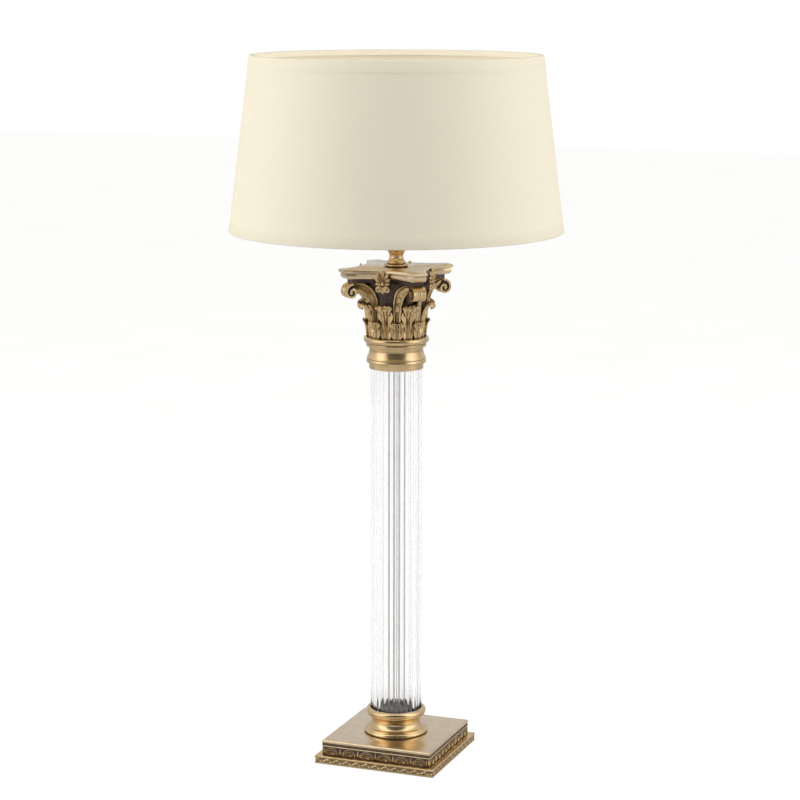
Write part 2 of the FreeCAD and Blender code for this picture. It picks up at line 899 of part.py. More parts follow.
def make_neck_cup():
    band_radius = socket_radius + size.cup_band_wall
    bead_root = size.cup_bead_radius - size.cup_groove_depth
    web_top = cup_seat + size.cup_web
    swell_middle = (cup_groove_top + cup_swell_top) / 2
    swell_hollow = (size.cup_swell_radius + size.cup_neck_radius) / 2 - size.cup_swell_hollow
    turned("neck_cup", [
        (socket_radius, cup_bottom),
        (band_radius, cup_bottom),
        (band_radius, cup_band_top),
        bead(bead_root, size.cup_bead_radius, cup_band_top, cup_bead_top),
        (bead_root, cup_bead_top),
        (bead_root, cup_groove_top),
        (size.cup_swell_radius, cup_groove_top, (swell_hollow, swell_middle)),
        (size.cup_neck_radius, cup_swell_top),
        (size.cup_neck_radius, cup_neck_top),
        (size.cup_top_radius, cup_top),
        (size.hollow_radius, cup_top),
        (size.hollow_radius, web_top),
        (rod_hole, web_top),
        (rod_hole, cup_seat),
        (socket_radius, cup_seat),
    ])


def make_astragal():
    bead_root = size.astragal_radius - size.astragal_swell
    turned("astragal_ring", [
        (size.hollow_radius, cup_top),
        (size.cup_top_radius, cup_top),
        (size.cup_top_radius, astragal_fillet_top),
        (size.astragal_groove_radius, astragal_fillet_top),
        (size.astragal_groove_radius, astragal_groove_top),
        bead(bead_root, size.astragal_radius, astragal_groove_top, capital_foot),
        (bead_root, capital_foot),
        (size.hollow_radius, capital_foot),
    ])


# ---------------------------------------------------------------- capital

leaf_back_foot = size.bell_foot_radius
leaf_back_shaft = size.bell_shaft_radius
upper_leaf_top = capital_foot + size.upper_leaf_height
lower_leaf_top = capital_foot + size.lower_leaf_height
volute_top = bell_top


def make_bell():
    bell_middle = (bell_shaft_top + bell_top) / 2
    turned("capital_bell", [
        (size.hollow_radius, capital_foot),
        (leaf_back_foot, capital_foot),
        (leaf_back_shaft, bell_shaft_top, (size.bell_hollow_radius, bell_middle)),
        (size.bell_top_radius, bell_top),
        (rod_hole, bell_top),
        (rod_hole, bell_top - size.bell_web),
        (size.hollow_radius, bell_top - size.bell_web),
    ])
    return nodes[-1]


def leaf_gap(foot, middle, open_half, low, high):
    """Outline of the gap between two leaves, open above; each side is the lobed edge of a leaf.

    foot, middle and open_half are half the gap's width at its foot, half way up and at the tips.
    """
    lift = (high - low) / LEAF_LOBES
    lobe = size.leaf_lobe
    above = high + lift
    widths = [foot, middle, (middle * 2 + open_half) / 3, (middle + open_half) / 2]
    notches = [(width, low + lift * step) for step, width in enumerate(widths)]
    notches.append((open_half, above))
    vias = []
    for start, end in zip(notches, notches[1:]):
        vias.append(((start[0] + end[0]) / 2 - lobe, (start[1] + end[1]) / 2 + lobe / 2))
    right = [(*start, via) for start, via in zip(notches, vias)]
    left = [(-end[0], end[1], (-via[0], via[1])) for end, via in reversed(list(zip(notches[1:], vias)))]
    return [*right, notches[-1], *left, (-foot, low)]


def make_leaf_tier(label, profile, gap, phase):
    """A crown of leaves: the leaf's section turned round the axis, then the gaps cut between the leaves."""
    body = new_body(label)
    sketch = new_sketch(body, "XZ_Plane", f"{label}_section")
    draw(sketch, profile)
    revolve(body, sketch, f"{label}_crown")
    gap_sketch = new_sketch(body, "XZ_Plane", f"{label}_gap_outline")
    draw(gap_sketch, gap)
    cut = pocket(body, gap_sketch, f"{label}_gap", size.abacus_corner)
    axis_sketch = new_sketch(body, "XY_Plane", f"{label}_axis")
    polar(body, cut, axis_sketch, LEAVES, f"{label}_gaps")
    body.Placement = Placement(Vector(0, 0, 0), Rotation(Vector(0, 0, 1), phase))
    return node(body, label)


def half_gap(radius, width):
    """Half the room between two leaves of a width whose crown has a radius there."""
    return radius * math.sin(math.pi / LEAVES) - width / 2


def sweep_via(start, end):
    """Where a round sweep that leaves start upright and bends out to end passes half way along."""
    return (start[0] + (end[0] - start[0]) * SWEEP_OUT, start[1] + (end[1] - start[1]) * SWEEP_UP)


def on_tip(reach, tip, curl, place):
    """A place on a leaf's tip, given in curls inwards and down."""
    return (reach - curl * place[0], tip - curl * place[1])


def make_leaves():
    """Upper tier on the bell, lower tier on the upper tier; both lie on a straight shaft at the foot."""
    half_pitch = 180 / LEAVES
    gap_low = capital_foot + size.leaf_ring_height
    low = capital_foot
    shaft = bell_shaft_top
    bend = shaft + size.leaf_bend_rise
    thick = size.upper_leaf_thickness
    front_foot = leaf_back_foot + thick
    front_shaft = leaf_back_shaft + thick
    tip = upper_leaf_top
    curl = size.upper_leaf_curl
    reach = size.upper_leaf_reach
    front_bend = (front_shaft + size.leaf_lean, bend)
    front_tip = on_tip(reach, tip, curl, UPPER_TIP_FRONT)
    back_bend = (leaf_back_shaft + size.leaf_lean, bend)
    back_tip = on_tip(reach, tip, curl, UPPER_TIP_BACK)
    make_leaf_tier("upper_leaf_tier", [
        (leaf_back_foot, low),
        (front_foot, low),
        (front_shaft, shaft),
        (*front_bend, sweep_via(front_bend, front_tip)),
        (*front_tip, (reach, tip - curl)),
        (reach - curl, tip, on_tip(reach, tip, curl, UPPER_TIP_BROW)),
        (*back_tip, sweep_via(back_bend, back_tip)),
        back_bend,
        (leaf_back_shaft, shaft),
    ], leaf_gap(half_gap(front_foot, size.upper_leaf_width), half_gap(front_shaft, size.upper_leaf_width),
                half_gap(reach, size.upper_leaf_tip_width), gap_low, tip), half_pitch)

    thick = size.lower_leaf_thickness
    tip = lower_leaf_top
    curl = size.lower_leaf_curl
    reach = size.lower_leaf_reach
    make_leaf_tier("lower_leaf_tier", [
        (front_foot, low),
        (front_foot + thick, low),
        (front_shaft + thick, shaft - curl * 2),
        (*on_tip(reach, tip, curl, LOWER_TIP_FRONT), on_tip(reach, tip, curl, LOWER_TIP_NOSE)),
        (reach - curl, tip, on_tip(reach, tip, curl, LOWER_TIP_BROW)),
        (front_shaft + curl / 2, shaft),
        (front_shaft, shaft - curl / 2),
    ], leaf_gap(half_gap(front_foot + thick, size.lower_leaf_width),
                half_gap(front_shaft + thick, size.lower_leaf_width),
                half_gap(reach, size.lower_leaf_tip_width), gap_low, tip), 0)


def volute_spiral():
    """Quarter arcs of the scroll, from its top outwards and round: (start angle, radius, centre)."""
    radius = size.volute_radius
    centre = (size.volute_reach - radius, volute_top - radius)
    quarters = []
    angle = 90
    for _ in range(VOLUTE_QUARTERS):
        quarters.append((angle, radius, centre))
        smaller = radius * size.volute_shrink
        angle -= 90
        shift = radius - smaller
        centre = (centre[0] + shift * round(math.cos(math.radians(angle))),
                  centre[1] + shift * round(math.sin(math.radians(angle))))
        radius = smaller
    return quarters


def on_circle(centre, radius, degrees):
    return (centre[0] + radius * round(math.cos(math.radians(degrees)), 6),
            centre[1] + radius * round(math.sin(math.radians(degrees)), 6))


def draw_volute(sketch):
    """The scroll's band: a stem arc from the bell up to the top, then the spiral, and back inside it."""
    quarters = volute_spiral()
    thick = size.volute_band
    first_centre = quarters[0][2]
    stem = size.volute_stem_radius
    stem_centre = (first_centre[0], volute_top - stem)
    root = size.bell_shaft_radius - size.volute_heel
    heel = stem_centre[1] - size.volute_heel
    outline = [(*on_circle(stem_centre, stem, 180), on_circle(stem_centre, stem, 135))]
    for angle, radius, centre in quarters:
        outline.append((*on_circle(centre, radius, angle), on_circle(centre, radius, angle - 45)))
    end_angle, end_radius, end_centre = quarters[-1]
    end_angle -= 90
    outline.append(on_circle(end_centre, end_radius, end_angle))
    inner = []
    for angle, radius, centre in quarters:
        inner.append((on_circle(centre, radius - thick, angle - 90),
                      on_circle(centre, radius - thick, angle - 45)))
    for end, via in reversed(inner):
        outline.append((*end, via))
    outline.append((*on_circle(stem_centre, stem - thick, 90), on_circle(stem_centre, stem - thick, 135)))
    outline.append(on_circle(stem_centre, stem - thick, 180))
    outline.append((stem_centre[0] - stem + thick, heel))
    outline.append((root, heel))
    outline.append((root, stem_centre[1]))
    draw(sketch, outline)


def polar_place(radius, degrees, height):
    turn = math.radians(degrees)
    return Vector(radius.value * math.cos(turn), radius.value * math.sin(turn), height.value)


def stem_leaf(label, side):
    """Stem from the gap between two leaves, up the bell and out into the scroll's side, on an arc."""
    thick = size.stem_leaf_radius
    gap = 180 / LEAVES * side
    foot = polar_place(size.bell_shaft_radius, gap, bell_shaft_top + size.stem_leaf_foot_rise)
    middle_height = bell_shaft_top + size.stem_leaf_middle_rise
    middle = polar_place(size.stem_leaf_middle_radius, gap * STEM_LEAF_TURN, middle_height)
    head_reach = size.volute_reach - size.volute_radius * 2
    head_side = (size.volute_width / 2 - thick / 2) * side
    head_height = volute_top - size.volute_band - thick
    head = Vector(head_reach.value, head_side.value, head_height.value)
    path = Part.Wire([Part.Arc(foot, middle, head).toShape()])
    start = Part.Wire([Part.Circle(foot, middle - foot, thick.value).toShape()])
    pipe = doc.addObject("Part::Feature", label)
    pipe.Shape = path.makePipeShell([start], True, False)
    return pipe


def make_volutes(bell):
    """One scroll with its two stems, its back cut to the bell, turned to the four corners."""
    body = new_body("volute_scroll")
    sketch = new_sketch(body, "XZ_Plane", "volute_outline")
    draw_volute(sketch)
    pad(body, sketch, size.volute_width, "volute_band", both_ways=True)
    stems = [stem_leaf(f"volute_stem_{side}", turn) for side, turn in (("left", 1), ("right", -1))]
    whole = fuse_parts("volute_cast", [body, *stems])
    first = cut_part("volute_front_left", whole, bell)
    first.Placement = Placement(Vector(0, 0, 0), Rotation(Vector(0, 0, 1), 225))
    node(first, "volute_front_left")
    for number, corner in enumerate(("front_right", "rear_right", "rear_left"), start=1):
        turned_copy(f"volute_{corner}", first, 90 * number)


def draw_abacus(sketch, inset):
    """Outline drawn in by inset: four hollow sides, which run across the axes, joined by cut corners."""
    reach = (size.abacus_corner - inset) * COS45
    across = size.abacus_corner_width / 2 * COS45
    waist = size.abacus_waist - inset
    near = reach - across
    far = reach + across
    draw(sketch, [
        (far, -near, (waist, 0)),
        (far, near),
        (near, far, (0, waist)),
        (-near, far),
        (-far, near, (-waist, 0)),
        (-far, -near),
        (-near, -far, (0, -waist)),
        (near, -far),
    ])


def abacus_layer(body, name, low, high, inset):
    sketch = new_sketch(body, "XY_Plane", f"{name}_outline", low)
    draw_abacus(sketch, inset)
    return pad(body, sketch, high - low, name)


def make_abacus():
    bed = new_body("abacus_bed")
    abacus_layer(bed, "bed_plate", bell_top, abacus_bottom, size.abacus_bed_inset)
    round_hole(bed, "bed_rod_hole", rod_hole, bell_top, None)
    node(bed, "abacus_bed")

    body = new_body("abacus")
    fascia = abacus_layer(body, "abacus_fascia", abacus_bottom, abacus_fascia_top, size.abacus_fascia_inset)
    chamfer_edges(body, fascia, abacus_bottom, abacus_bottom, size.abacus_fascia_chamfer, "fascia_chamfer")
    abacus_layer(body, "abacus_groove", abacus_fascia_top, abacus_groove_top, size.abacus_groove_inset)
    lip = abacus_layer(body, "abacus_lip", abacus_groove_top, abacus_top, Dim.of(0))
    round_edges(body, lip, abacus_top, abacus_top, size.abacus_lip_round, "lip_round")
    round_hole(body, "abacus_rod_hole", rod_hole, abacus_bottom, None)
    return node(body, "abacus")


def draw_palmette(sketch):
    """Seven round lobes fanned out from the heart, over two scroll lobes at the foot."""
    height = size.fleuron_height
    bottom = abacus_bottom + size.fleuron_overlap - height
    heart = (Dim.of(0), bottom + size.fleuron_heart_height)
    half = size.fleuron_width / 2
    lobes = [(0, height - size.fleuron_heart_height)]
    lobes += [(angle, half * share) for angle, share in PALMETTE_LOBES]
    scroll = size.fleuron_scroll_radius
    scroll_centre = (scroll * PALMETTE_SCROLL_OUT, bottom + scroll)
    valleys = []
    for (angle, length), (next_angle, next_length) in zip(lobes, lobes[1:]):
        reach = (length + next_length) * PALMETTE_VALLEY
        valleys.append(on_circle(heart, reach, 90 - (angle + next_angle) / 2))
    tips = [on_circle(heart, length, 90 - angle) for angle, length in lobes]
    shoulder = on_circle(scroll_centre, scroll, PALMETTE_SHOULDER)
    toe = on_circle(scroll_centre, scroll, PALMETTE_TOE)
    scroll_out = on_circle(scroll_centre, scroll, PALMETTE_SCROLL_SIDE)

    def mirrored(place):
        return (-place[0], place[1])

    right = [(valleys[0], tips[1]), (valleys[1], tips[2]), (valleys[2], tips[3]), (shoulder, scroll_out)]
    outline = [(*mirrored(valleys[0]), tips[0])]
    outline += [(*start, via) for start, via in right]
    outline += [toe]
    left_starts = [toe, shoulder, valleys[2], valleys[1]]
    left_vias = [scroll_out, tips[3], tips[2], tips[1]]
    outline += [(*mirrored(start), mirrored(via)) for start, via in zip(left_starts, left_vias)]
    draw(sketch, outline)


def make_fleuron(abacus):
    """Palmette with its back cut to the abacus's hollow side, made at the front."""
    body = new_body("fleuron_blank")
    sketch = new_sketch(body, "XZ_Plane", "fleuron_outline", size.abacus_waist - size.fleuron_bite)
    draw_palmette(sketch)
    pad(body, sketch, size.fleuron_thickness, "fleuron_plate")
    return node(cut_part("fleuron_front", body, abacus), "fleuron_front")


def make_fleurons(abacus):
    front = make_fleuron(abacus)
    for number, side in enumerate(("right", "rear", "left"), start=1):
        turned_copy(f"fleuron_{side}", front, 90 * number)


# ---------------------------------------------------------------- stem and lampholder

def make_neck_stem():
    bead_root = size.stem_bead_radius - size.stem_bead_swell
    waist = (size.stem_waist_radius, stem_bulge_top + size.stem_waist_rise)
    turned("neck_stem", [
        (rod_hole, abacus_top),
        (size.stem_foot_radius, abacus_top),
        (size.stem_foot_radius, stem_foot_top),
        bead(bead_root, size.stem_bead_radius, stem_foot_top, stem_bead_top),
        (bead_root, stem_bead_top),
        (size.stem_groove_radius, stem_bead_top),
        bead(size.stem_groove_radius, size.stem_bulge_radius, stem_groove_top, stem_bulge_top),
        (size.stem_groove_radius, stem_bulge_top, waist),
        (size.stem_flare_radius, stem_flare_top),
        (size.stem_flare_radius, holder_bottom),
        (rod_hole, holder_bottom),
    ])


switch_bar_axis = holder_bottom + size.switch_bar_height
bar_hole = size.switch_bar_radius + size.switch_bar_clearance


def cross_bore(label, blank):
    """Bore a turned blank right through, along X, for the switch bar."""
    length = size.cross_bore_length
    tool = cylinder(f"{label}_bore_tool", bar_hole, length, turn=Rotation(Vector(0, 1, 0), 90))
    bind(tool, "Placement.Base.x", -length / 2)
    bind(tool, "Placement.Base.z", switch_bar_axis)
    return node(cut_part(label, blank, tool), label)


def make_holder_cup():
    flare_top = holder_bottom + size.holder_flare_height
    wall = size.holder_wall
    flare_via = (size.holder_radius - wall, holder_bottom + size.holder_flare_height / 3)
    blank = turned("holder_cup_blank", [
        (size.rod_radius, holder_bottom),
        (size.holder_foot_radius, holder_bottom, flare_via),
        (size.holder_radius, flare_top),
        (size.holder_radius, holder_top),
        (size.holder_radius - wall, holder_top),
        (size.holder_radius - wall, flare_top + wall),
        (size.holder_foot_radius - wall, holder_floor),
        (size.rod_radius, holder_floor),
    ])
    nodes.remove(blank)
    cross_bore("holder_cup", blank)


def make_switch_block():
    radius = size.holder_radius - size.holder_wall - size.block_clearance
    foot = size.holder_foot_radius - size.holder_wall - size.block_clearance
    flare_top = holder_bottom + size.holder_flare_height + size.holder_wall
    hollow_top = holder_floor + size.block_hollow_height
    blank = turned("switch_block_blank", [
        (size.block_hollow_radius, holder_floor),
        (foot, holder_floor),
        (radius, flare_top + size.block_clearance),
        (radius, block_top),
        (size.rod_bore, block_top),
        (size.rod_bore, hollow_top),
        (size.block_hollow_radius, hollow_top),
    ])
    nodes.remove(blank)
    cross_bore("switch_block", blank)


def make_switch_bar():
    """Push bar, standing out on the left until it is pushed across."""
    length = size.switch_bar_length
    edge = size.switch_bar_edge
    bar = turned("switch_bar", [
        (0, 0),
        (size.switch_bar_radius - edge, 0),
        (size.switch_bar_radius, edge),
        (size.switch_bar_radius, length - edge),
        (size.switch_bar_radius - edge, length),
        (0, length),
    ])
    bar.Placement = Placement(Vector(0, 0, 0), Rotation(Vector(0, 1, 0), 90))
    bind(bar, "Placement.Base.x", -length / 2 - size.switch_bar_travel / 2)
    bind(bar, "Placement.Base.z", switch_bar_axis)


def make_contacts():
    band("contact_insert", size.rod_bore, size.insert_radius, block_top, insert_top)
    top = insert_top + size.centre_contact_height
    turned("centre_contact", [
        (0, insert_top),
        (size.centre_contact_radius, insert_top),
        (size.centre_contact_radius, insert_top + size.centre_contact_rim),
        (size.centre_contact_radius / 2, top),
        (0, top),
    ])
    outer = size.shell_radius + size.shell_wall
    band("screw_shell", size.shell_radius, outer, insert_top, insert_top + size.shell_length)


def make_skirt():
    turned("holder_skirt", [
        (size.skirt_bore, holder_top),
        (size.skirt_flange_radius, holder_top),
        (size.skirt_flange_radius, skirt_flange_top),
        (size.holder_radius, skirt_flange_top),
        (size.holder_radius, skirt_top - size.skirt_edge),
        (size.holder_radius - size.skirt_edge, skirt_top),
        (size.skirt_bore, skirt_top),
    ])


def make_holder():
    make_holder_cup()
    make_switch_block()
    make_switch_bar()
    make_contacts()
    make_skirt()


# ---------------------------------------------------------------- shade

shade_slope = (size.shade_foot_radius - size.shade_top_radius) / size.shade_height
fitter_bore = size.holder_radius + size.fitter_clearance


def shade_radius(height, inward):
    """Radius of the shade's outside at a height, drawn in by inward."""
    return size.shade_foot_radius - shade_slope * (height - shade_bottom) - inward


def shade_strip(label, low, high, outer_inset, inner_inset):
    return turned(label, [
        (shade_radius(low, inner_inset), low),
        (shade_radius(low, outer_inset), low),
        (shade_radius(high, outer_inset), high),
        (shade_radius(high, inner_inset), high),
    ])


def hem(label, edge, into):
    """Tape folded round one edge of the shade: out over the shell, across the edge, back inside the wire.

    into is 1 where the shade lies above the edge and -1 where it lies below.
    """
    tape = size.hem_thickness
    shell_out = tape
    shell_in = tape + size.shade_wall
    wire_in = shell_in + size.wire_radius * 2 * WIRE_STAND_OFF
    fold = edge + tape * into
    outer_end = edge + size.hem_height * into
    inner_end = edge + size.hem_return * into
    return turned(label, [
        (shade_radius(edge, 0), edge),
        (shade_radius(outer_end, 0), outer_end),
        (shade_radius(outer_end, shell_out), outer_end),
        (shade_radius(fold, shell_out), fold),
        (shade_radius(fold, wire_in), fold),
        (shade_radius(inner_end, wire_in), inner_end),
        (shade_radius(inner_end, wire_in + tape), inner_end),
        (shade_radius(edge, wire_in + tape), edge),
    ])


def wire_ring(label, height):
    ring = doc.addObject("Part::Torus", label)
    inward = size.hem_thickness + size.shade_wall + size.wire_radius * WIRE_STAND_OFF
    bind(ring, "Radius1", shade_radius(height, inward))
    bind(ring, "Radius2", size.wire_radius)
    bind(ring, "Placement.Base.z", height)
    return node(ring, label)


def make_spider(wire):
    """Fitter ring with three arms that run out and down to the bottom wire."""
    body = new_body("fitter_ring")
    sketch = new_sketch(body, "XZ_Plane", "fitter_profile")
    draw(sketch, [(fitter_bore, fitter_bottom), (size.fitter_radius, fitter_bottom),
                  (size.fitter_radius, fitter_top), (fitter_bore, fitter_top)])
    revolve(body, sketch, "fitter_turning")
    arms = []
    start_radius = size.fitter_radius - size.arm_root
    start_height = (fitter_bottom + fitter_top) / 2
    end_radius = wire.Radius1.Value
    end_height = wire.Placement.Base.z
    for number in range(ARMS):
        turn = math.radians(90 + 360 / ARMS * number)
        out = Vector(math.cos(turn), math.sin(turn), 0)
        start = out * start_radius.value + Vector(0, 0, start_height.value)
        end = out * end_radius + Vector(0, 0, end_height)
        arm = cylinder(f"arm_{number + 1}", size.arm_radius, Dim.of((end - start).Length), start,
                       Rotation(Vector(0, 0, 1), end - start))
        arms.append(arm)
    whole = fuse_parts("spider_wires", [body, *arms])
    node(cut_part("shade_spider", whole, wire), "shade_spider")
    return whole


def make_shade():
    edge = size.hem_thickness
    shade_strip("shade_shell", shade_bottom + edge, shade_top - edge, edge, edge + size.shade_wall)
    folded = hem("bottom_hem_fold", shade_bottom, 1)
    nodes.remove(folded)
    hem("top_hem", shade_top, -1)
    wire_height = edge + size.wire_radius * WIRE_STAND_OFF
    bottom_wire = wire_ring("bottom_wire", shade_bottom + wire_height)
    wire_ring("top_wire", shade_top - wire_height)
    doc.recompute()
    spider_wires = make_spider(bottom_wire)
    node(cut_part("bottom_hem", folded, spider_wires), "bottom_hem")


def make_shade_ring():
    """Threaded ring that clamps the shade down on the lampholder's flange."""
    low = fitter_top + size.body_gap
    high = low + size.shade_ring_height
    edge = size.shade_ring_edge
    inner = size.holder_radius + size.shade_ring_clearance
    turned("shade_ring", [
        (inner, low),
        (size.shade_ring_radius, low),
        (size.shade_ring_radius, high - edge),
        (size.shade_ring_radius - edge, high),
        (inner, high),
    ])


# ---------------------------------------------------------------- bulb

def make_bulb():
    contact_low = insert_top + size.centre_contact_height + size.body_gap
    contact_high = contact_low + size.bulb_contact_height
    cap_low = contact_high + size.bulb_insulator_height
    cap_high = cap_low + size.bulb_cap_height
    cap_inner = size.bulb_cap_radius - size.bulb_cap_wall
    turned("bulb_contact", [
        (0, contact_low),
        (size.bulb_contact_radius - size.bulb_contact_taper, contact_low),
        (size.bulb_contact_radius, contact_high),
        (0, contact_high),
    ])
    turned("bulb_insulator", [
        (0, contact_high),
        (size.bulb_contact_radius + size.bulb_insulator_rim, contact_high),
        (cap_inner, cap_low),
        (0, cap_low),
    ])
    band("bulb_cap", cap_inner, size.bulb_cap_radius, cap_low, cap_high)
    wall = size.bulb_glass_wall
    neck = size.bulb_neck_radius
    middle = cap_high + size.bulb_neck_length
    top = middle + size.bulb_radius
    low = cap_high - size.bulb_neck_overlap
    throat = (cap_high + middle) / 2
    throat_radius = (neck + size.bulb_radius) / 2 + size.bulb_throat_swell
    crown = size.bulb_radius * COS45
    inner_crown = (size.bulb_radius - wall) * COS45
    turned("bulb_glass", [
        (neck - wall, low),
        (neck, low),
        (neck, cap_high, (throat_radius, throat)),
        (size.bulb_radius, middle, (crown, middle + crown)),
        (0, top),
        (0, top - wall, (inner_crown, middle + inner_crown)),
        (size.bulb_radius - wall, middle, (throat_radius - wall, throat)),
        (neck - wall, cap_high),
    ])


# ---------------------------------------------------------------- the lamp

def build():
    make_felt()
    screws = make_screws()
    make_cover(screws)
    make_step()
    make_frieze()
    make_cap()
    make_ballast(screws)
    make_bushing()
    make_rod()
    make_column()
    make_neck_cup()
    make_astragal()
    bell = make_bell()
    make_leaves()
    make_volutes(bell)
    abacus = make_abacus()
    make_fleurons(abacus)
    make_neck_stem()
    make_holder()
    make_shade()
    make_shade_ring()
    make_bulb()
    doc.recompute()


def check():
    """Stop when a feature failed, a cut removed nothing, or a piece is not a sound solid."""
    for item in doc.Objects:
        if "Invalid" in item.State or "Error" in item.State:
            raise RuntimeError(f"{item.Name} is {item.State}")
        if item.TypeId == "PartDesign::Pocket":
            before = item.BaseFeature.Shape.Volume
            if item.Shape.Volume > before - 0.01:
                raise RuntimeError(f"{item.Name} cuts nothing")
    for item in nodes:
        if item.Shape.isNull() or not item.Shape.isValid():
            raise RuntimeError(f"{item.Label} has no valid shape")
        solids = len(item.Shape.Solids)
        print(f"{item.Label}: {solids} solid(s), {item.Shape.Volume:.1f} mm3")


def write():
    os.makedirs("parts", exist_ok=True)
    for item in nodes:
        item.Shape.exportStep(f"parts/{item.Label}.step")


build()
check()
write()
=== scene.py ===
"""A column table lamp in antiqued brass and fluted glass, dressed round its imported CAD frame.

Sizes are millimetres in the frame's own axes: the plinth's sides lie along X and Y, and Z is the lamp's axis.
Each sub-assembly is a class that models its pieces and gives them their finish.
"""

import logging
import math
from collections.abc import Callable, Sequence
from dataclasses import dataclass
from enum import Enum
from functools import cache

import bmesh
import bpy
from mathutils import Matrix, Vector


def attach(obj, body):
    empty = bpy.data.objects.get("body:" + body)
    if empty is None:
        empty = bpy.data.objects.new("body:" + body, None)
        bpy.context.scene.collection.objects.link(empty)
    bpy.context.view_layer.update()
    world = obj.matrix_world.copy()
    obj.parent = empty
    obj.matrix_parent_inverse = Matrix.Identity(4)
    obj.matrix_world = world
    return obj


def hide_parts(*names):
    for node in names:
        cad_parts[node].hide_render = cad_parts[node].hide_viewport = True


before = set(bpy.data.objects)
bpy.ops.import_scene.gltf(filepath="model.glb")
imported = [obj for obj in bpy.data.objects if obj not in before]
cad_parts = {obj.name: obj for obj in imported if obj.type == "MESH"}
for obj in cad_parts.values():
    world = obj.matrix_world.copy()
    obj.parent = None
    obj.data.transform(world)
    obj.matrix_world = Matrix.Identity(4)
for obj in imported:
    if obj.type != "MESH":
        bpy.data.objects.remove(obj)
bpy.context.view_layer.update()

log = logging.getLogger("lamp")

MM = 0.001
UP = Vector((0, 0, 1))
SLIGHT_BEND = 24.0
SAME_PLACE = 0.002

Colour = tuple[float, float, float]
Place = tuple[float, float]
Profile = list[Place]


class Body(Enum):
    """The bodies of the frame that carry modelled pieces."""

    LAMP = "lamp"
    SHADE = "shade"


class Grain(Enum):
    """Which way the marks of a tool run on a metal."""

    TURNED = "turned"
    CAST = "cast"
    BRUSHED = "brushed"


# ---------------------------------------------------------------- finishes


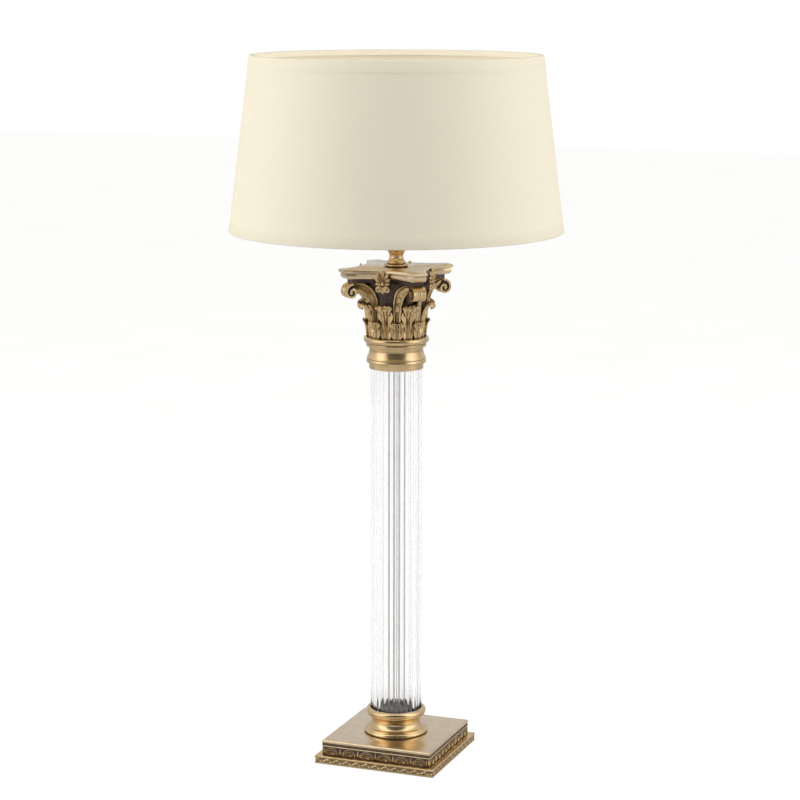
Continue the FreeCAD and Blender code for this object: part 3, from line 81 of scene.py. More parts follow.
class Graph:
    """The node graph of one finish, built round its Principled shader."""

    def __init__(self, name: str) -> None:
        """Start an empty finish.

        Args:
            name: The material's name.
        """
        self.material = bpy.data.materials.new(name)
        self.material.use_nodes = True
        self.tree = self.material.node_tree
        self.shader = self.tree.nodes["Principled BSDF"]

    def add(self, kind: str, **settings: object) -> bpy.types.Node:
        """Add a node.

        Args:
            kind: The node's type name.
            settings: Its properties.

        Returns:
            The node.
        """
        node = self.tree.nodes.new(kind)
        for name, value in settings.items():
            setattr(node, name, value)
        return node

    def feed(self, socket: bpy.types.NodeSocket, value: object) -> None:
        """Link a socket to another, or set it to a value."""
        if isinstance(value, bpy.types.NodeSocket):
            self.tree.links.new(value, socket)
        elif isinstance(value, tuple) and len(socket.default_value) == 4:
            socket.default_value = (*value, 1.0)
        else:
            socket.default_value = value

    def set(self, **sockets: object) -> None:
        """Set or link the shader's sockets, named with underscores for spaces."""
        for name, value in sockets.items():
            self.feed(self.shader.inputs[name.replace("_", " ")], value)

    def place(self, stretch: tuple[float, float, float] = (1, 1, 1)) -> bpy.types.NodeSocket:
        """Object coordinates in millimetres, divided by a stretch along each axis.

        Args:
            stretch: How much longer a pattern is along X, Y and Z.

        Returns:
            The vector socket.
        """
        where = self.add("ShaderNodeTexCoord").outputs["Object"]
        mapping = self.add("ShaderNodeMapping")
        self.feed(mapping.inputs["Vector"], where)
        mapping.inputs["Scale"].default_value = [1 / (MM * part) for part in stretch]
        return mapping.outputs["Vector"]

    def sum(self, kind: str, first: object, second: object = 0.0) -> bpy.types.NodeSocket:
        """One step of arithmetic.

        Args:
            kind: The operation.
            first: A socket or a number.
            second: A socket or a number.

        Returns:
            The result's socket.
        """
        node = self.add("ShaderNodeMath", operation=kind)
        self.feed(node.inputs[0], first)
        self.feed(node.inputs[1], second)
        return node.outputs[0]

    def range(self, value: bpy.types.NodeSocket, low: float, high: float, start: float = 0.0,
              end: float = 1.0) -> bpy.types.NodeSocket:
        """Map a value smoothly from one span to another.

        Args:
            value: What is mapped.
            low: The value that becomes start.
            high: The value that becomes end.
            start: The result at low.
            end: The result at high.

        Returns:
            The result's socket.
        """
        node = self.add("ShaderNodeMapRange", interpolation_type="SMOOTHSTEP")
        names = ("Value", "From Min", "From Max", "To Min", "To Max")
        for name, part in zip(names, (value, low, high, start, end)):
            self.feed(node.inputs[name], part)
        return node.outputs["Result"]

    def mix(self, share: object, first: object, second: object) -> bpy.types.NodeSocket:
        """Mix two colours.

        Args:
            share: How much of the second, from 0 to 1.
            first: A colour or its socket.
            second: A colour or its socket.

        Returns:
            The mixed colour's socket.
        """
        node = self.add("ShaderNodeMix", data_type="RGBA")
        self.feed(node.inputs[0], share)
        self.feed(node.inputs[6], first)
        self.feed(node.inputs[7], second)
        return node.outputs[2]

    def noise(self, where: bpy.types.NodeSocket, period: float, detail: float = 3.0) -> bpy.types.NodeSocket:
        """Noise of about one blot to a period.

        Args:
            where: The place, in millimetres.
            period: The size of a blot, in millimetres.
            detail: How many finer layers it has.

        Returns:
            The noise's socket, from 0 to 1.
        """
        node = self.add("ShaderNodeTexNoise")
        self.feed(node.inputs["Vector"], where)
        node.inputs["Scale"].default_value = 1 / period
        node.inputs["Detail"].default_value = detail
        return node.outputs[0]

    def hollow(self, reach: float) -> bpy.types.NodeSocket:
        """How open a place is, from 0 in a deep hollow to 1 on a ridge or a plain.

        Args:
            reach: How far away a wall still counts, in millimetres.

        Returns:
            The socket.
        """
        node = self.add("ShaderNodeAmbientOcclusion", samples=6)
        node.inputs["Distance"].default_value = reach * MM
        return node.outputs["AO"]

    def bump(self, height: bpy.types.NodeSocket, depth: float) -> None:
        """Roughen the surface.

        Args:
            height: The height, from 0 to 1.
            depth: What 1 stands for, in millimetres.
        """
        node = self.add("ShaderNodeBump")
        node.inputs["Strength"].default_value = 1.0
        node.inputs["Distance"].default_value = depth * MM
        self.feed(node.inputs["Height"], height)
        self.feed(self.shader.inputs["Normal"], node.outputs["Normal"])


MARK_STRETCH: dict[Grain, tuple[float, float, float]] = {
    Grain.TURNED: (4, 4, 0.12),
    Grain.CAST: (1, 1, 1),
    Grain.BRUSHED: (30, 0.25, 1),
}


@dataclass(frozen=True)
class AgedBrass:
    """Antiqued brass: rubbed bright on the ridges, brown lacquer left in the hollows."""

    name: str
    grain: Grain = Grain.CAST
    bright: Colour = (0.80, 0.585, 0.315)
    tarnish: Colour = (0.52, 0.35, 0.165)
    lacquer: Colour = (0.082, 0.050, 0.030)
    gloss: float = 0.24
    reach: float = 3.0
    coat: float = 0.0
    dark_below: float = 0.42
    bright_above: float = 0.86
    blot: float = 14.0
    cast_depth: float = 0.02
    tooled_depth: float = 0.006
    slot: str = "antique_brass"

    @cache
    def material(self) -> bpy.types.Material:
        """Build the finish."""
        graph = Graph(self.name)
        marks = graph.noise(graph.place(MARK_STRETCH[self.grain]), 1.0, 2.0)
        blots = graph.noise(graph.place(), self.blot, 4.0)
        open_share = graph.range(graph.hollow(self.reach), self.dark_below, self.bright_above)
        rubbed = graph.range(blots, 0.35, 0.7)
        metal = graph.mix(graph.sum("MULTIPLY", rubbed, 0.55), self.bright, self.tarnish)
        polish = graph.range(open_share, 0.0, 1.0, 0.62, self.gloss)
        graph.set(
            Base_Color=graph.mix(open_share, self.lacquer, metal),
            Metallic=graph.range(open_share, 0.0, 0.6, 0.35, 1.0),
            Roughness=graph.sum("ADD", polish, graph.sum("MULTIPLY", marks, 0.10)),
            Coat_Weight=self.coat,
            Coat_Roughness=0.16,
        )
        graph.bump(marks, self.cast_depth if self.grain is Grain.CAST else self.tooled_depth)
        return graph.material


@dataclass(frozen=True)
class DarkPatina:
    """The brown ground behind the ornament, where the lacquer was left on."""

    name: str
    lacquer: Colour = (0.078, 0.050, 0.044)
    worn: Colour = (0.25, 0.165, 0.095)
    slot: str = "dark_patina"

    @cache
    def material(self) -> bpy.types.Material:
        """Build the finish."""
        graph = Graph(self.name)
        blots = graph.noise(graph.place(), 5.0, 5.0)
        graph.set(
            Base_Color=graph.mix(graph.range(blots, 0.5, 0.8), self.lacquer, self.worn),
            Metallic=graph.range(blots, 0.45, 0.75, 0.3, 0.9),
            Roughness=graph.range(blots, 0.3, 0.7, 0.6, 0.42),
        )
        graph.bump(graph.noise(graph.place(), 0.8, 4.0), 0.04)
        return graph.material


@dataclass(frozen=True)
class ClearGlass:
    """Pressed clear glass, faintly cool in its thickness."""

    name: str = "fluted_glass"
    tint: Colour = (0.885, 0.885, 0.885)
    thin: Colour = (0.90, 0.902, 0.905)
    slot: str = "clear_glass"

    @cache
    def material(self) -> bpy.types.Material:
        """Build the finish."""
        graph = Graph(self.name)
        ripple = graph.noise(graph.place((1, 1, 9)), 6.0, 2.0)
        graph.set(
            Base_Color=graph.mix(graph.range(ripple, 0.2, 0.8), self.tint, self.thin),
            Roughness=graph.range(ripple, 0.3, 0.8, 0.0, 0.012),
            IOR=1.5,
            Transmission_Weight=1.0,
        )
        return graph.material


@dataclass(frozen=True)
class PlainMetal:
    """A plated or drawn metal with fine tool marks."""

    name: str
    slot: str
    colour: Colour
    gloss: float = 0.3
    stretch: tuple[float, float, float] = (3, 3, 0.2)

    @cache
    def material(self) -> bpy.types.Material:
        """Build the finish."""
        graph = Graph(self.name)
        marks = graph.noise(graph.place(self.stretch), 1.0, 3.0)
        blots = graph.noise(graph.place(), 9.0, 3.0)
        worn = tuple(part * 0.72 for part in self.colour)
        graph.set(
            Base_Color=graph.mix(graph.range(blots, 0.4, 0.8, 0.0, 0.6), self.colour, worn),
            Metallic=1.0,
            Roughness=graph.sum("ADD", graph.sum("MULTIPLY", marks, 0.14), self.gloss),
        )
        graph.bump(marks, 0.008)
        return graph.material


@dataclass(frozen=True)
class Moulded:
    """A plastic, rubber, paint or enamel: even, with a fine surface grain."""

    name: str
    slot: str
    colour: Colour
    roughness: float = 0.4
    grain: float = 0.4
    depth: float = 0.01

    @cache
    def material(self) -> bpy.types.Material:
        """Build the finish."""
        graph = Graph(self.name)
        blots = graph.noise(graph.place(), 12.0, 3.0)
        grain = graph.noise(graph.place(), self.grain, 2.0)
        shade = tuple(part * 0.86 for part in self.colour)
        graph.set(
            Base_Color=graph.mix(graph.range(blots, 0.35, 0.75), self.colour, shade),
            Roughness=graph.sum("ADD", graph.sum("MULTIPLY", grain, 0.12), self.roughness),
        )
        graph.bump(grain, self.depth)
        return graph.material


@dataclass(frozen=True)
class Cloth:
    """Woven cotton laminated on a stiff liner: crossing threads with a few thick ones."""

    name: str
    slot: str
    colour: Colour = (0.90, 0.835, 0.68)
    thread: float = 0.55
    depth: float = 0.05
    slub_length: float = 60.0
    slub_width: float = 0.9

    @cache
    def material(self) -> bpy.types.Material:
        """Build the finish."""
        graph = Graph(self.name)
        weave = graph.add("ShaderNodeUVMap", uv_map="cloth").outputs["UV"]
        axes = graph.add("ShaderNodeSeparateXYZ")
        graph.feed(axes.inputs[0], weave)
        turns = 2 * math.pi / (self.thread * MM)
        warp = graph.sum("SINE", graph.sum("MULTIPLY", axes.outputs[0], turns))
        weft = graph.sum("SINE", graph.sum("MULTIPLY", axes.outputs[1], turns))
        threads = graph.sum("MULTIPLY", graph.sum("ADD", graph.sum("MULTIPLY", warp, weft), 1.0), 0.5)
        slub = graph.add("ShaderNodeMapping")
        graph.feed(slub.inputs["Vector"], weave)
        slub.inputs["Scale"].default_value = (1 / (self.slub_length * MM), 1 / (self.slub_width * MM), 1)
        slubs = graph.noise(slub.outputs["Vector"], 1.0, 2.0)
        height = graph.sum("ADD", graph.sum("MULTIPLY", threads, 0.7), graph.sum("MULTIPLY", slubs, 0.3))
        deep = tuple(part * 0.90 for part in self.colour)
        graph.set(
            Base_Color=graph.mix(graph.range(height, 0.15, 0.75), deep, self.colour),
            Roughness=graph.range(threads, 0.0, 1.0, 0.95, 0.8),
            Specular_IOR_Level=0.25,
        )
        graph.bump(height, self.depth)
        return graph.material


CAST_BRASS = AgedBrass("cast_brass")
DEEP_BRASS = AgedBrass("leaf_brass", gloss=0.22, reach=2.6, dark_below=0.42, bright_above=0.88)
TURNED_BRASS = AgedBrass("turned_brass", grain=Grain.TURNED, gloss=0.16, coat=0.4, dark_below=0.30,
                         bright_above=0.74)
PLATE_BRASS = AgedBrass("plate_brass", grain=Grain.BRUSHED, gloss=0.20, coat=1.0, bright=(0.80, 0.62, 0.385),
                        tarnish=(0.66, 0.50, 0.31), dark_below=0.15, bright_above=0.5)
PEARL_BRASS = AgedBrass("pearl_brass", bright=(0.46, 0.33, 0.18), tarnish=(0.26, 0.175, 0.09))
GROUND = DarkPatina("patina_ground")
BAND_GROUND = DarkPatina("band_ground", lacquer=(0.22, 0.15, 0.085), worn=(0.48, 0.35, 0.20))
DARK_BRONZE = DarkPatina("collar_patina", lacquer=(0.15, 0.13, 0.13), worn=(0.26, 0.22, 0.21))
GLASS = ClearGlass()
CLOTH = Cloth("shade_cloth", "shade_fabric")
TAPE = Cloth("hem_cloth", "hem_tape", colour=(0.885, 0.82, 0.665), thread=0.4, depth=0.03)

NODE_FINISHES: dict[str, object] = {
    "capital_bell": GROUND,
    "abacus_bed": GROUND,
    "lower_collar": DARK_BRONZE,
    "upper_collar": DARK_BRONZE,
    "centre_tube": PlainMetal("silvered_tube", "silvered_tube", (0.52, 0.49, 0.49), 0.22),
    "tie_rod": PlainMetal("zinc_rod", "zinc_steel", (0.62, 0.62, 0.60), 0.35),
    "rod_nut": PlainMetal("zinc_nut", "zinc_steel", (0.60, 0.60, 0.58), 0.35),
    "rod_washer": PlainMetal("zinc_washer", "zinc_steel", (0.60, 0.60, 0.58), 0.38),
    "holder_nut": PlainMetal("zinc_holder_nut", "zinc_steel", (0.60, 0.60, 0.58), 0.35),
    "cover_screws": PlainMetal("zinc_screws", "zinc_steel", (0.58, 0.58, 0.56), 0.35),
    "felt_pad": Moulded("green_felt", "felt", (0.035, 0.055, 0.04), 0.95, 0.35, 0.15),
    "bottom_cover": Moulded("cover_enamel", "cover_paint", (0.05, 0.05, 0.05), 0.5),
    "ballast_plate": Moulded("cast_iron", "ballast_iron", (0.10, 0.10, 0.10), 0.7, 0.7, 0.1),
    "cord_bushing": Moulded("bushing_nylon", "bushing_plastic", (0.02, 0.02, 0.02), 0.45),
    "lower_gasket": Moulded("lower_rubber", "gasket_rubber", (0.03, 0.03, 0.03), 0.7),
    "upper_gasket": Moulded("upper_rubber", "gasket_rubber", (0.03, 0.03, 0.03), 0.7),
    "holder_cup": PlainMetal("holder_cup_brass", "holder_brass", (0.78, 0.57, 0.30), 0.22),
    "switch_block": Moulded("switch_moulding", "holder_plastic", (0.03, 0.03, 0.03), 0.35),
    "switch_bar": Moulded("switch_bar_moulding", "bar_plastic", (0.025, 0.022, 0.02), 0.3),
    "contact_insert": Moulded("contact_porcelain", "holder_plastic", (0.72, 0.70, 0.66), 0.3),
    "centre_contact": PlainMetal("contact_spring", "contact_brass", (0.78, 0.58, 0.30), 0.3),
    "screw_shell": PlainMetal("shell_brass", "contact_brass", (0.76, 0.57, 0.30), 0.3),
    "holder_skirt": Moulded("skirt_moulding", "holder_plastic", (0.035, 0.033, 0.03), 0.38),
    "shade_ring": Moulded("ring_moulding", "holder_plastic", (0.03, 0.03, 0.03), 0.38),
    "shade_spider": Moulded("spider_enamel", "white_wire", (0.80, 0.79, 0.75), 0.35),
    "bottom_wire": Moulded("bottom_wire_enamel", "white_wire", (0.80, 0.79, 0.75), 0.35),
    "top_wire": Moulded("top_wire_enamel", "white_wire", (0.80, 0.79, 0.75), 0.35),
    "bulb_glass": Moulded("opal_bulb", "opal_glass", (0.86, 0.86, 0.84), 0.12, 3.0, 0.002),
    "bulb_cap": PlainMetal("bulb_cap_metal", "bulb_aluminium", (0.78, 0.78, 0.76), 0.3),
    "bulb_contact": PlainMetal("bulb_contact_metal", "bulb_aluminium", (0.72, 0.72, 0.70), 0.35),
    "bulb_insulator": Moulded("bulb_insulator_glass", "bulb_insulator", (0.02, 0.02, 0.022), 0.15),
}


# ---------------------------------------------------------------- outlines


class Outline:
    """A line drawn in a plane, in millimetres, one move at a time."""

    def __init__(self, across: float, up: float) -> None:
        """Start at a place."""
        self.points: Profile = [(across, up)]

    def to(self, *places: Place) -> "Outline":
        """Straight runs to places."""
        self.points += places
        return self

    def arc(self, via: Place, end: Place, steps: int = 12) -> "Outline":
        """A round run through one place to another.

        Args:
            via: A place on the arc.
            end: Where the arc ends.
            steps: How many chords it has.

        Returns:
            The outline itself.
        """
        (ax, ay), (bx, by), (cx, cy) = self.points[-1], via, end
        double = 2 * (ax * (by - cy) + bx * (cy - ay) + cx * (ay - by))
        a2, b2, c2 = ax * ax + ay * ay, bx * bx + by * by, cx * cx + cy * cy
        ox = (a2 * (by - cy) + b2 * (cy - ay) + c2 * (ay - by)) / double
        oy = (a2 * (cx - bx) + b2 * (ax - cx) + c2 * (bx - ax)) / double
        radius = math.hypot(ax - ox, ay - oy)
        start, middle, stop = (math.atan2(y - oy, x - ox) for x, y in ((ax, ay), (bx, by), (cx, cy)))
        full = 2 * math.pi
        sweep = (stop - start) % full
        if (middle - start) % full > sweep:
            sweep -= full
        for step in range(1, steps + 1):
            turn = start + sweep * step / steps
            self.points.append((ox + radius * math.cos(turn), oy + radius * math.sin(turn)))
        self.points[-1] = end
        return self

    def bead(self, swell: float, end: Place, steps: int = 14) -> "Outline":
        """A round run that swells sideways: out for a positive swell, in for a negative one."""
        start = self.points[-1]
        return self.arc(((start[0] + end[0]) / 2 + swell, (start[1] + end[1]) / 2), end, steps)

    def softened(self, radius: float) -> Profile:
        """The closed outline with its corners rounded, and its slight bends left.

        Args:
            radius: How far from a corner the rounding starts.

        Returns:
            The points.
        """
        points = [Vector(point) for point in self.points]
        count = len(points)
        result: Profile = []
        for index, point in enumerate(points):
            back = points[index - 1] - point
            ahead = points[(index + 1) % count] - point
            if min(back.length, ahead.length) < 1e-4 or math.degrees((-back).angle(ahead)) < SLIGHT_BEND:
                result.append(tuple(point))
                continue
            cut = min(radius, back.length * 0.45, ahead.length * 0.45)
            start = point + back.normalized() * cut
            end = point + ahead.normalized() * cut
            for share in (0, 1 / 3, 2 / 3, 1):
                curve = start * (1 - share) ** 2 + point * 2 * share * (1 - share) + end * share ** 2
                result.append(tuple(curve))
        return result


def spline(points: Sequence[Vector], count: int) -> list[Vector]:
    """Places along a smooth line through points, which are its handles' ends.

    Args:
        points: What the line goes through.
        count: How many places to give.

    Returns:
        The places, evenly spaced in the points' own steps.
    """
    ends = [points[0] * 2 - points[1], *points, points[-1] * 2 - points[-2]]
    places = []
    for index in range(count):
        where = index / (count - 1) * (len(points) - 1)
        run = min(int(where), len(points) - 2)
        share = where - run
        a, b, c, d = ends[run:run + 4]
        places.append(0.5 * (
            b * 2 + (c - a) * share + (a * 2 - b * 5 + c * 4 - d) * share ** 2
            + (b * 3 - a - c * 3 + d) * share ** 3
        ))
    return places


def flat(points: Sequence[Place]) -> list[Vector]:
    """Places of a plane as vectors with no depth."""
    return [Vector((across, up, 0)) for across, up in points]


# ---------------------------------------------------------------- shapes


class Shape:
    """A piece being modelled, in millimetres."""

    def __init__(self) -> None:
        """Start with nothing."""
        self.mesh = bmesh.new()

    def turn(self, profile: Profile, steps: int = 144, phase: float = 0.0) -> None:
        """Turn a closed profile of (radius, height) about the lamp's axis.

        Args:
            profile: The outline to turn.
            steps: How many faces go round.
            phase: The angle of the first one, in degrees.
        """
        way = Vector((math.cos(math.radians(phase)), math.sin(math.radians(phase)), 0))
        verts = [self.mesh.verts.new(way * radius + UP * height) for radius, height in profile]
        edges = [self.mesh.edges.new(pair) for pair in zip(verts, verts[1:] + verts[:1])]
        bmesh.ops.spin(self.mesh, geom=verts + edges, cent=(0, 0, 0), axis=UP, angle=2 * math.pi, steps=steps,
                       use_merge=True, use_duplicate=False)

    def square(self, profile: Profile) -> None:
        """A mitred frame of mouldings: a profile of (half side, height) carried round the four sides."""
        self.turn([(half * math.sqrt(2), height) for half, height in profile], steps=4, phase=45)

    def sweep(self, rings: Sequence[Sequence[Vector]], capped: bool = True) -> None:
        """Extrude a closed ring through the places of the ones that follow.

        Args:
            rings: The rings, all with the same number of places.
            capped: Whether both ends are closed.
        """
        verts = [self.mesh.verts.new(place) for place in rings[0]]
        edges = [self.mesh.edges.new(pair) for pair in zip(verts, verts[1:] + verts[:1])]
        rims = [edges]
        for ring in rings[1:]:
            grown = bmesh.ops.extrude_edge_only(self.mesh, edges=edges)["geom"]
            fresh = {item for item in grown if isinstance(item, bmesh.types.BMVert)}
            verts = [
                next(edge.other_vert(vert) for edge in vert.link_edges if edge.other_vert(vert) in fresh)
                for vert in verts
            ]
            for vert, place in zip(verts, ring):
                vert.co = place
            edges = [
                item for item in grown
                if isinstance(item, bmesh.types.BMEdge) and all(vert in fresh for vert in item.verts)
            ]
        rims.append(edges)
        if capped:
            for rim in rims:
                bmesh.ops.edgeloop_fill(self.mesh, edges=rim)

    def cane(self, path: Sequence[Vector], radii: Sequence[float], depth: Vector, flatten: float = 1.0,
             sides: int = 6) -> None:
        """A rod along a path whose thickness changes on the way.

        Args:
            path: Where it goes.
            radii: Its radius at even steps from one end to the other.
            depth: The way out of the ground it lies on.
            flatten: Its depth as a share of its width.
            sides: How many faces go round.
        """
        rings = []
        for index, place in enumerate(path):
            ahead = (path[min(index + 1, len(path) - 1)] - path[max(index - 1, 0)]).normalized()
            side = ahead.cross(depth).normalized()
            out = side.cross(ahead).normalized()
            where = index / (len(path) - 1) * (len(radii) - 1)
            low = min(int(where), len(radii) - 2)
            radius = radii[low] + (radii[low + 1] - radii[low]) * (where - low)
            rings.append([
                place + side * radius * math.cos(turn) + out * radius * flatten * math.sin(turn)
                for turn in (2 * math.pi * number / sides for number in range(sides))
            ])
        self.sweep(rings)

    def petal(self, place: Matrix, length: float, width: float, height: float, belly: float = 0.6,
              bend: float = 0.0, lift: float = 0.0, sides: int = 10, rings: int = 7) -> None:
        """A rounded petal that grows along its own Y.

        Args:
            place: Where it stands and how it is turned.
            length: From its foot to its tip.
            width: Across its widest part.
            height: Its depth, of which half lies behind its own plane.
            belly: Where it is widest: below 0 near the foot, above 0 near the tip.
            bend: How far its tip is carried along X.
            lift: How far its tip is carried along Z.
            sides: How many faces go round.
            rings: How many faces go along.
        """
        upright = Matrix.Rotation(math.radians(-90), 4, "X")
        verts = bmesh.ops.create_uvsphere(self.mesh, u_segments=sides, v_segments=rings, radius=0.5,
                                          matrix=upright)["verts"]
        for vert in verts:
            along = vert.co.y + 0.5
            spread = 1 + belly * (along - 0.5)
            vert.co = Vector((
                vert.co.x * width * spread + bend * along ** 2,
                along * length,
                vert.co.z * height * spread + lift * along ** 2,
            ))
        bmesh.ops.transform(self.mesh, matrix=place, verts=verts)

    def stamp(self, motif: "Shape", places: Sequence[Matrix]) -> None:
        """Copy a motif to each place.

        Args:
            motif: What is copied; it is used up.
            places: Where the copies stand.
        """
        block = bpy.data.meshes.new("block")
        bmesh.ops.remove_doubles(motif.mesh, verts=motif.mesh.verts, dist=SAME_PLACE)
        motif.mesh.to_mesh(block)
        motif.mesh.free()
        for place in places:
            before = len(self.mesh.verts)
            self.mesh.from_mesh(block)
            self.mesh.verts.ensure_lookup_table()
            bmesh.ops.transform(self.mesh, matrix=place, verts=self.mesh.verts[before:])
        bpy.data.meshes.remove(block)

    def piece(self, name: str, finish: object, body: Body, *stands_for: str, crease: float = 34.0,
              marks: Callable[[Vector, Vector], Place] | None = None) -> bpy.types.Object:
        """Close the piece, dress it and mount it on its body.

        Args:
            name: The piece's name.
            finish: What it is made of.
            body: What it moves with.
            stands_for: The CAD nodes it replaces.
            crease: The bend, in degrees, above which an edge stays sharp.
            marks: Gives each place its spot on the flat cloth, in metres.

        Returns:
            The finished object.
        """
        bmesh.ops.remove_doubles(self.mesh, verts=self.mesh.verts, dist=SAME_PLACE)
        bmesh.ops.recalc_face_normals(self.mesh, faces=self.mesh.faces)
        bmesh.ops.scale(self.mesh, vec=(MM, MM, MM), verts=self.mesh.verts)
        limit = math.radians(crease)
        for face in self.mesh.faces:
            face.smooth = True
        for edge in self.mesh.edges:
            edge.smooth = edge.calc_face_angle(math.pi) < limit
        if marks:
            layer = self.mesh.loops.layers.uv.new("cloth")
            for face in self.mesh.faces:
                middle = face.calc_center_median()
                for loop in face.loops:
                    loop[layer].uv = marks(loop.vert.co, middle)
        block = bpy.data.meshes.new(name)
        self.mesh.to_mesh(block)
        self.mesh.free()
        made = bpy.data.objects.new(name, block)
        bpy.context.scene.collection.objects.link(made)
        block.materials.append(finish.material())
        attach(made, body.value)
        if stands_for:
            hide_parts(*stands_for)
        log.info("%s: %d faces, for %s", name, len(block.polygons), ", ".join(stands_for) or "ornament")
        return made


def turned_by(degrees: float, axis: str = "Z") -> Matrix:
    """A turn about an axis."""
    return Matrix.Rotation(math.radians(degrees), 4, axis)


def moved(x: float = 0.0, y: float = 0.0, z: float = 0.0) -> Matrix:
    """A move."""
    return Matrix.Translation((x, y, z))


def on_wall(half: float, side: int = 0) -> Matrix:
    """Stand a drawing (X across, Y up, Z out) on one of the plinth's four walls.

    Args:
        half: How far the wall is from the axis.
        side: Quarter turns from the front wall.

    Returns:
        The placing.
    """
    return turned_by(90 * side) @ moved(y=-half) @ turned_by(90, "X")


# ---------------------------------------------------------------- ornament


@dataclass
class Anthemion:
    """A small fan of petals under an arch, and the pointed bud that stands between two of them."""

    arch_width: float = 13.2
    height: float = 9.2
    petals: int = 7
    lean: float = 78.0
    relief: float = 1.3

    def fan(self) -> Shape:
        """The palmette: petals that spread from a heart, framed by two nested arches."""
        shape = Shape()
        half = self.arch_width / 2
        for scale, thick in ((1.0, 0.52), (0.74, 0.46)):
            arch = Outline(-half * scale, 0.2).arc((0, (self.height - 0.3) * scale), (half * scale, 0.2), 18)
            shape.cane(flat(arch.points), (thick * 0.8, thick, thick, thick, thick * 0.8), UP, self.relief, 6)
        for number in range(self.petals):
            angle = self.lean * (1 - 2 * number / (self.petals - 1))
            length = self.height * 0.54 * (0.70 + 0.30 * math.cos(math.radians(angle)))
            place = moved(0, 0.7) @ turned_by(angle)
            shape.petal(place, length, 1.15, 2.0, 0.9, bend=-angle / self.lean * 0.4, lift=0.3, sides=8,
                        rings=5)
        shape.petal(moved(0, 0.1), 2.0, 2.0, 2.4, 0.0, sides=8, rings=5)
        return shape

    def bud(self) -> Shape:
        """The lotus: a spear between two leaves that lean away, with two more leaves on each side."""
        shape = Shape()
        shape.petal(moved(0, 0.4), self.height - 0.5, 2.0, 2.4, -0.7, sides=8, rings=7)
        for side in (-1, 1):
            shape.petal(moved(side * 0.6, 0.2) @ turned_by(-18 * side), self.height * 0.66, 1.3, 1.9, 0.2,
                        bend=side * 1.0, lift=0.2, sides=8, rings=6)
            shape.petal(moved(side * 1.2, 0.1) @ turned_by(-46 * side), self.height * 0.42, 1.1, 1.6, 0.6,
                        bend=side * 0.6, sides=8, rings=5)
            shape.petal(moved(side * 3.1, 0.1) @ turned_by(-8 * side), self.height * 0.66, 1.1, 1.6, -0.3,
                        bend=side * 0.5, sides=8, rings=5)
        return shape


@dataclass
class Vine:
    """A wavy stem with a leaf in every bend."""

    pitch: float
    swing: float = 1.25
    relief: float = 0.62
    steps: int = 14

    def wave(self) -> Shape:
        """One wave of the stem, from crossing to crossing, with its two leaves and their tendrils."""
        shape = Shape()
        path = []
        for step in range(self.steps + 1):
            share = step / self.steps
            path.append(Vector((self.pitch * share, self.swing * math.sin(2 * math.pi * share), 0)))
        shape.cane(path, (0.58, 0.58), UP, 1.0, 5)
        for side, across in ((1, 0.25), (-1, 0.75)):
            root = moved(self.pitch * across - 0.9, side * self.swing * 0.75)
            for angle, length in ((-100, 3.4), (-145, 2.7), (-60, 2.7), (-20, 1.9)):
                shape.petal(root @ turned_by(side * angle), length, 1.5, self.relief * 2, 0.5,
                            bend=side * 0.4, sides=6, rings=5)
            curl = Outline(self.pitch * across + 0.6, side * self.swing)
            curl.arc((self.pitch * across + 2.3, side * 0.9), (self.pitch * across + 1.2, side * 0.1), 6)
            shape.cane(flat(curl.points), (0.46, 0.3), UP, 1.0, 5)
        return shape


def smooth(value: float, low: float, high: float) -> float:
    """How far a value has come from low to high, eased at both ends."""
    share = min(1.0, max(0.0, (value - low) / (high - low)))
    return share * share * (3 - 2 * share)


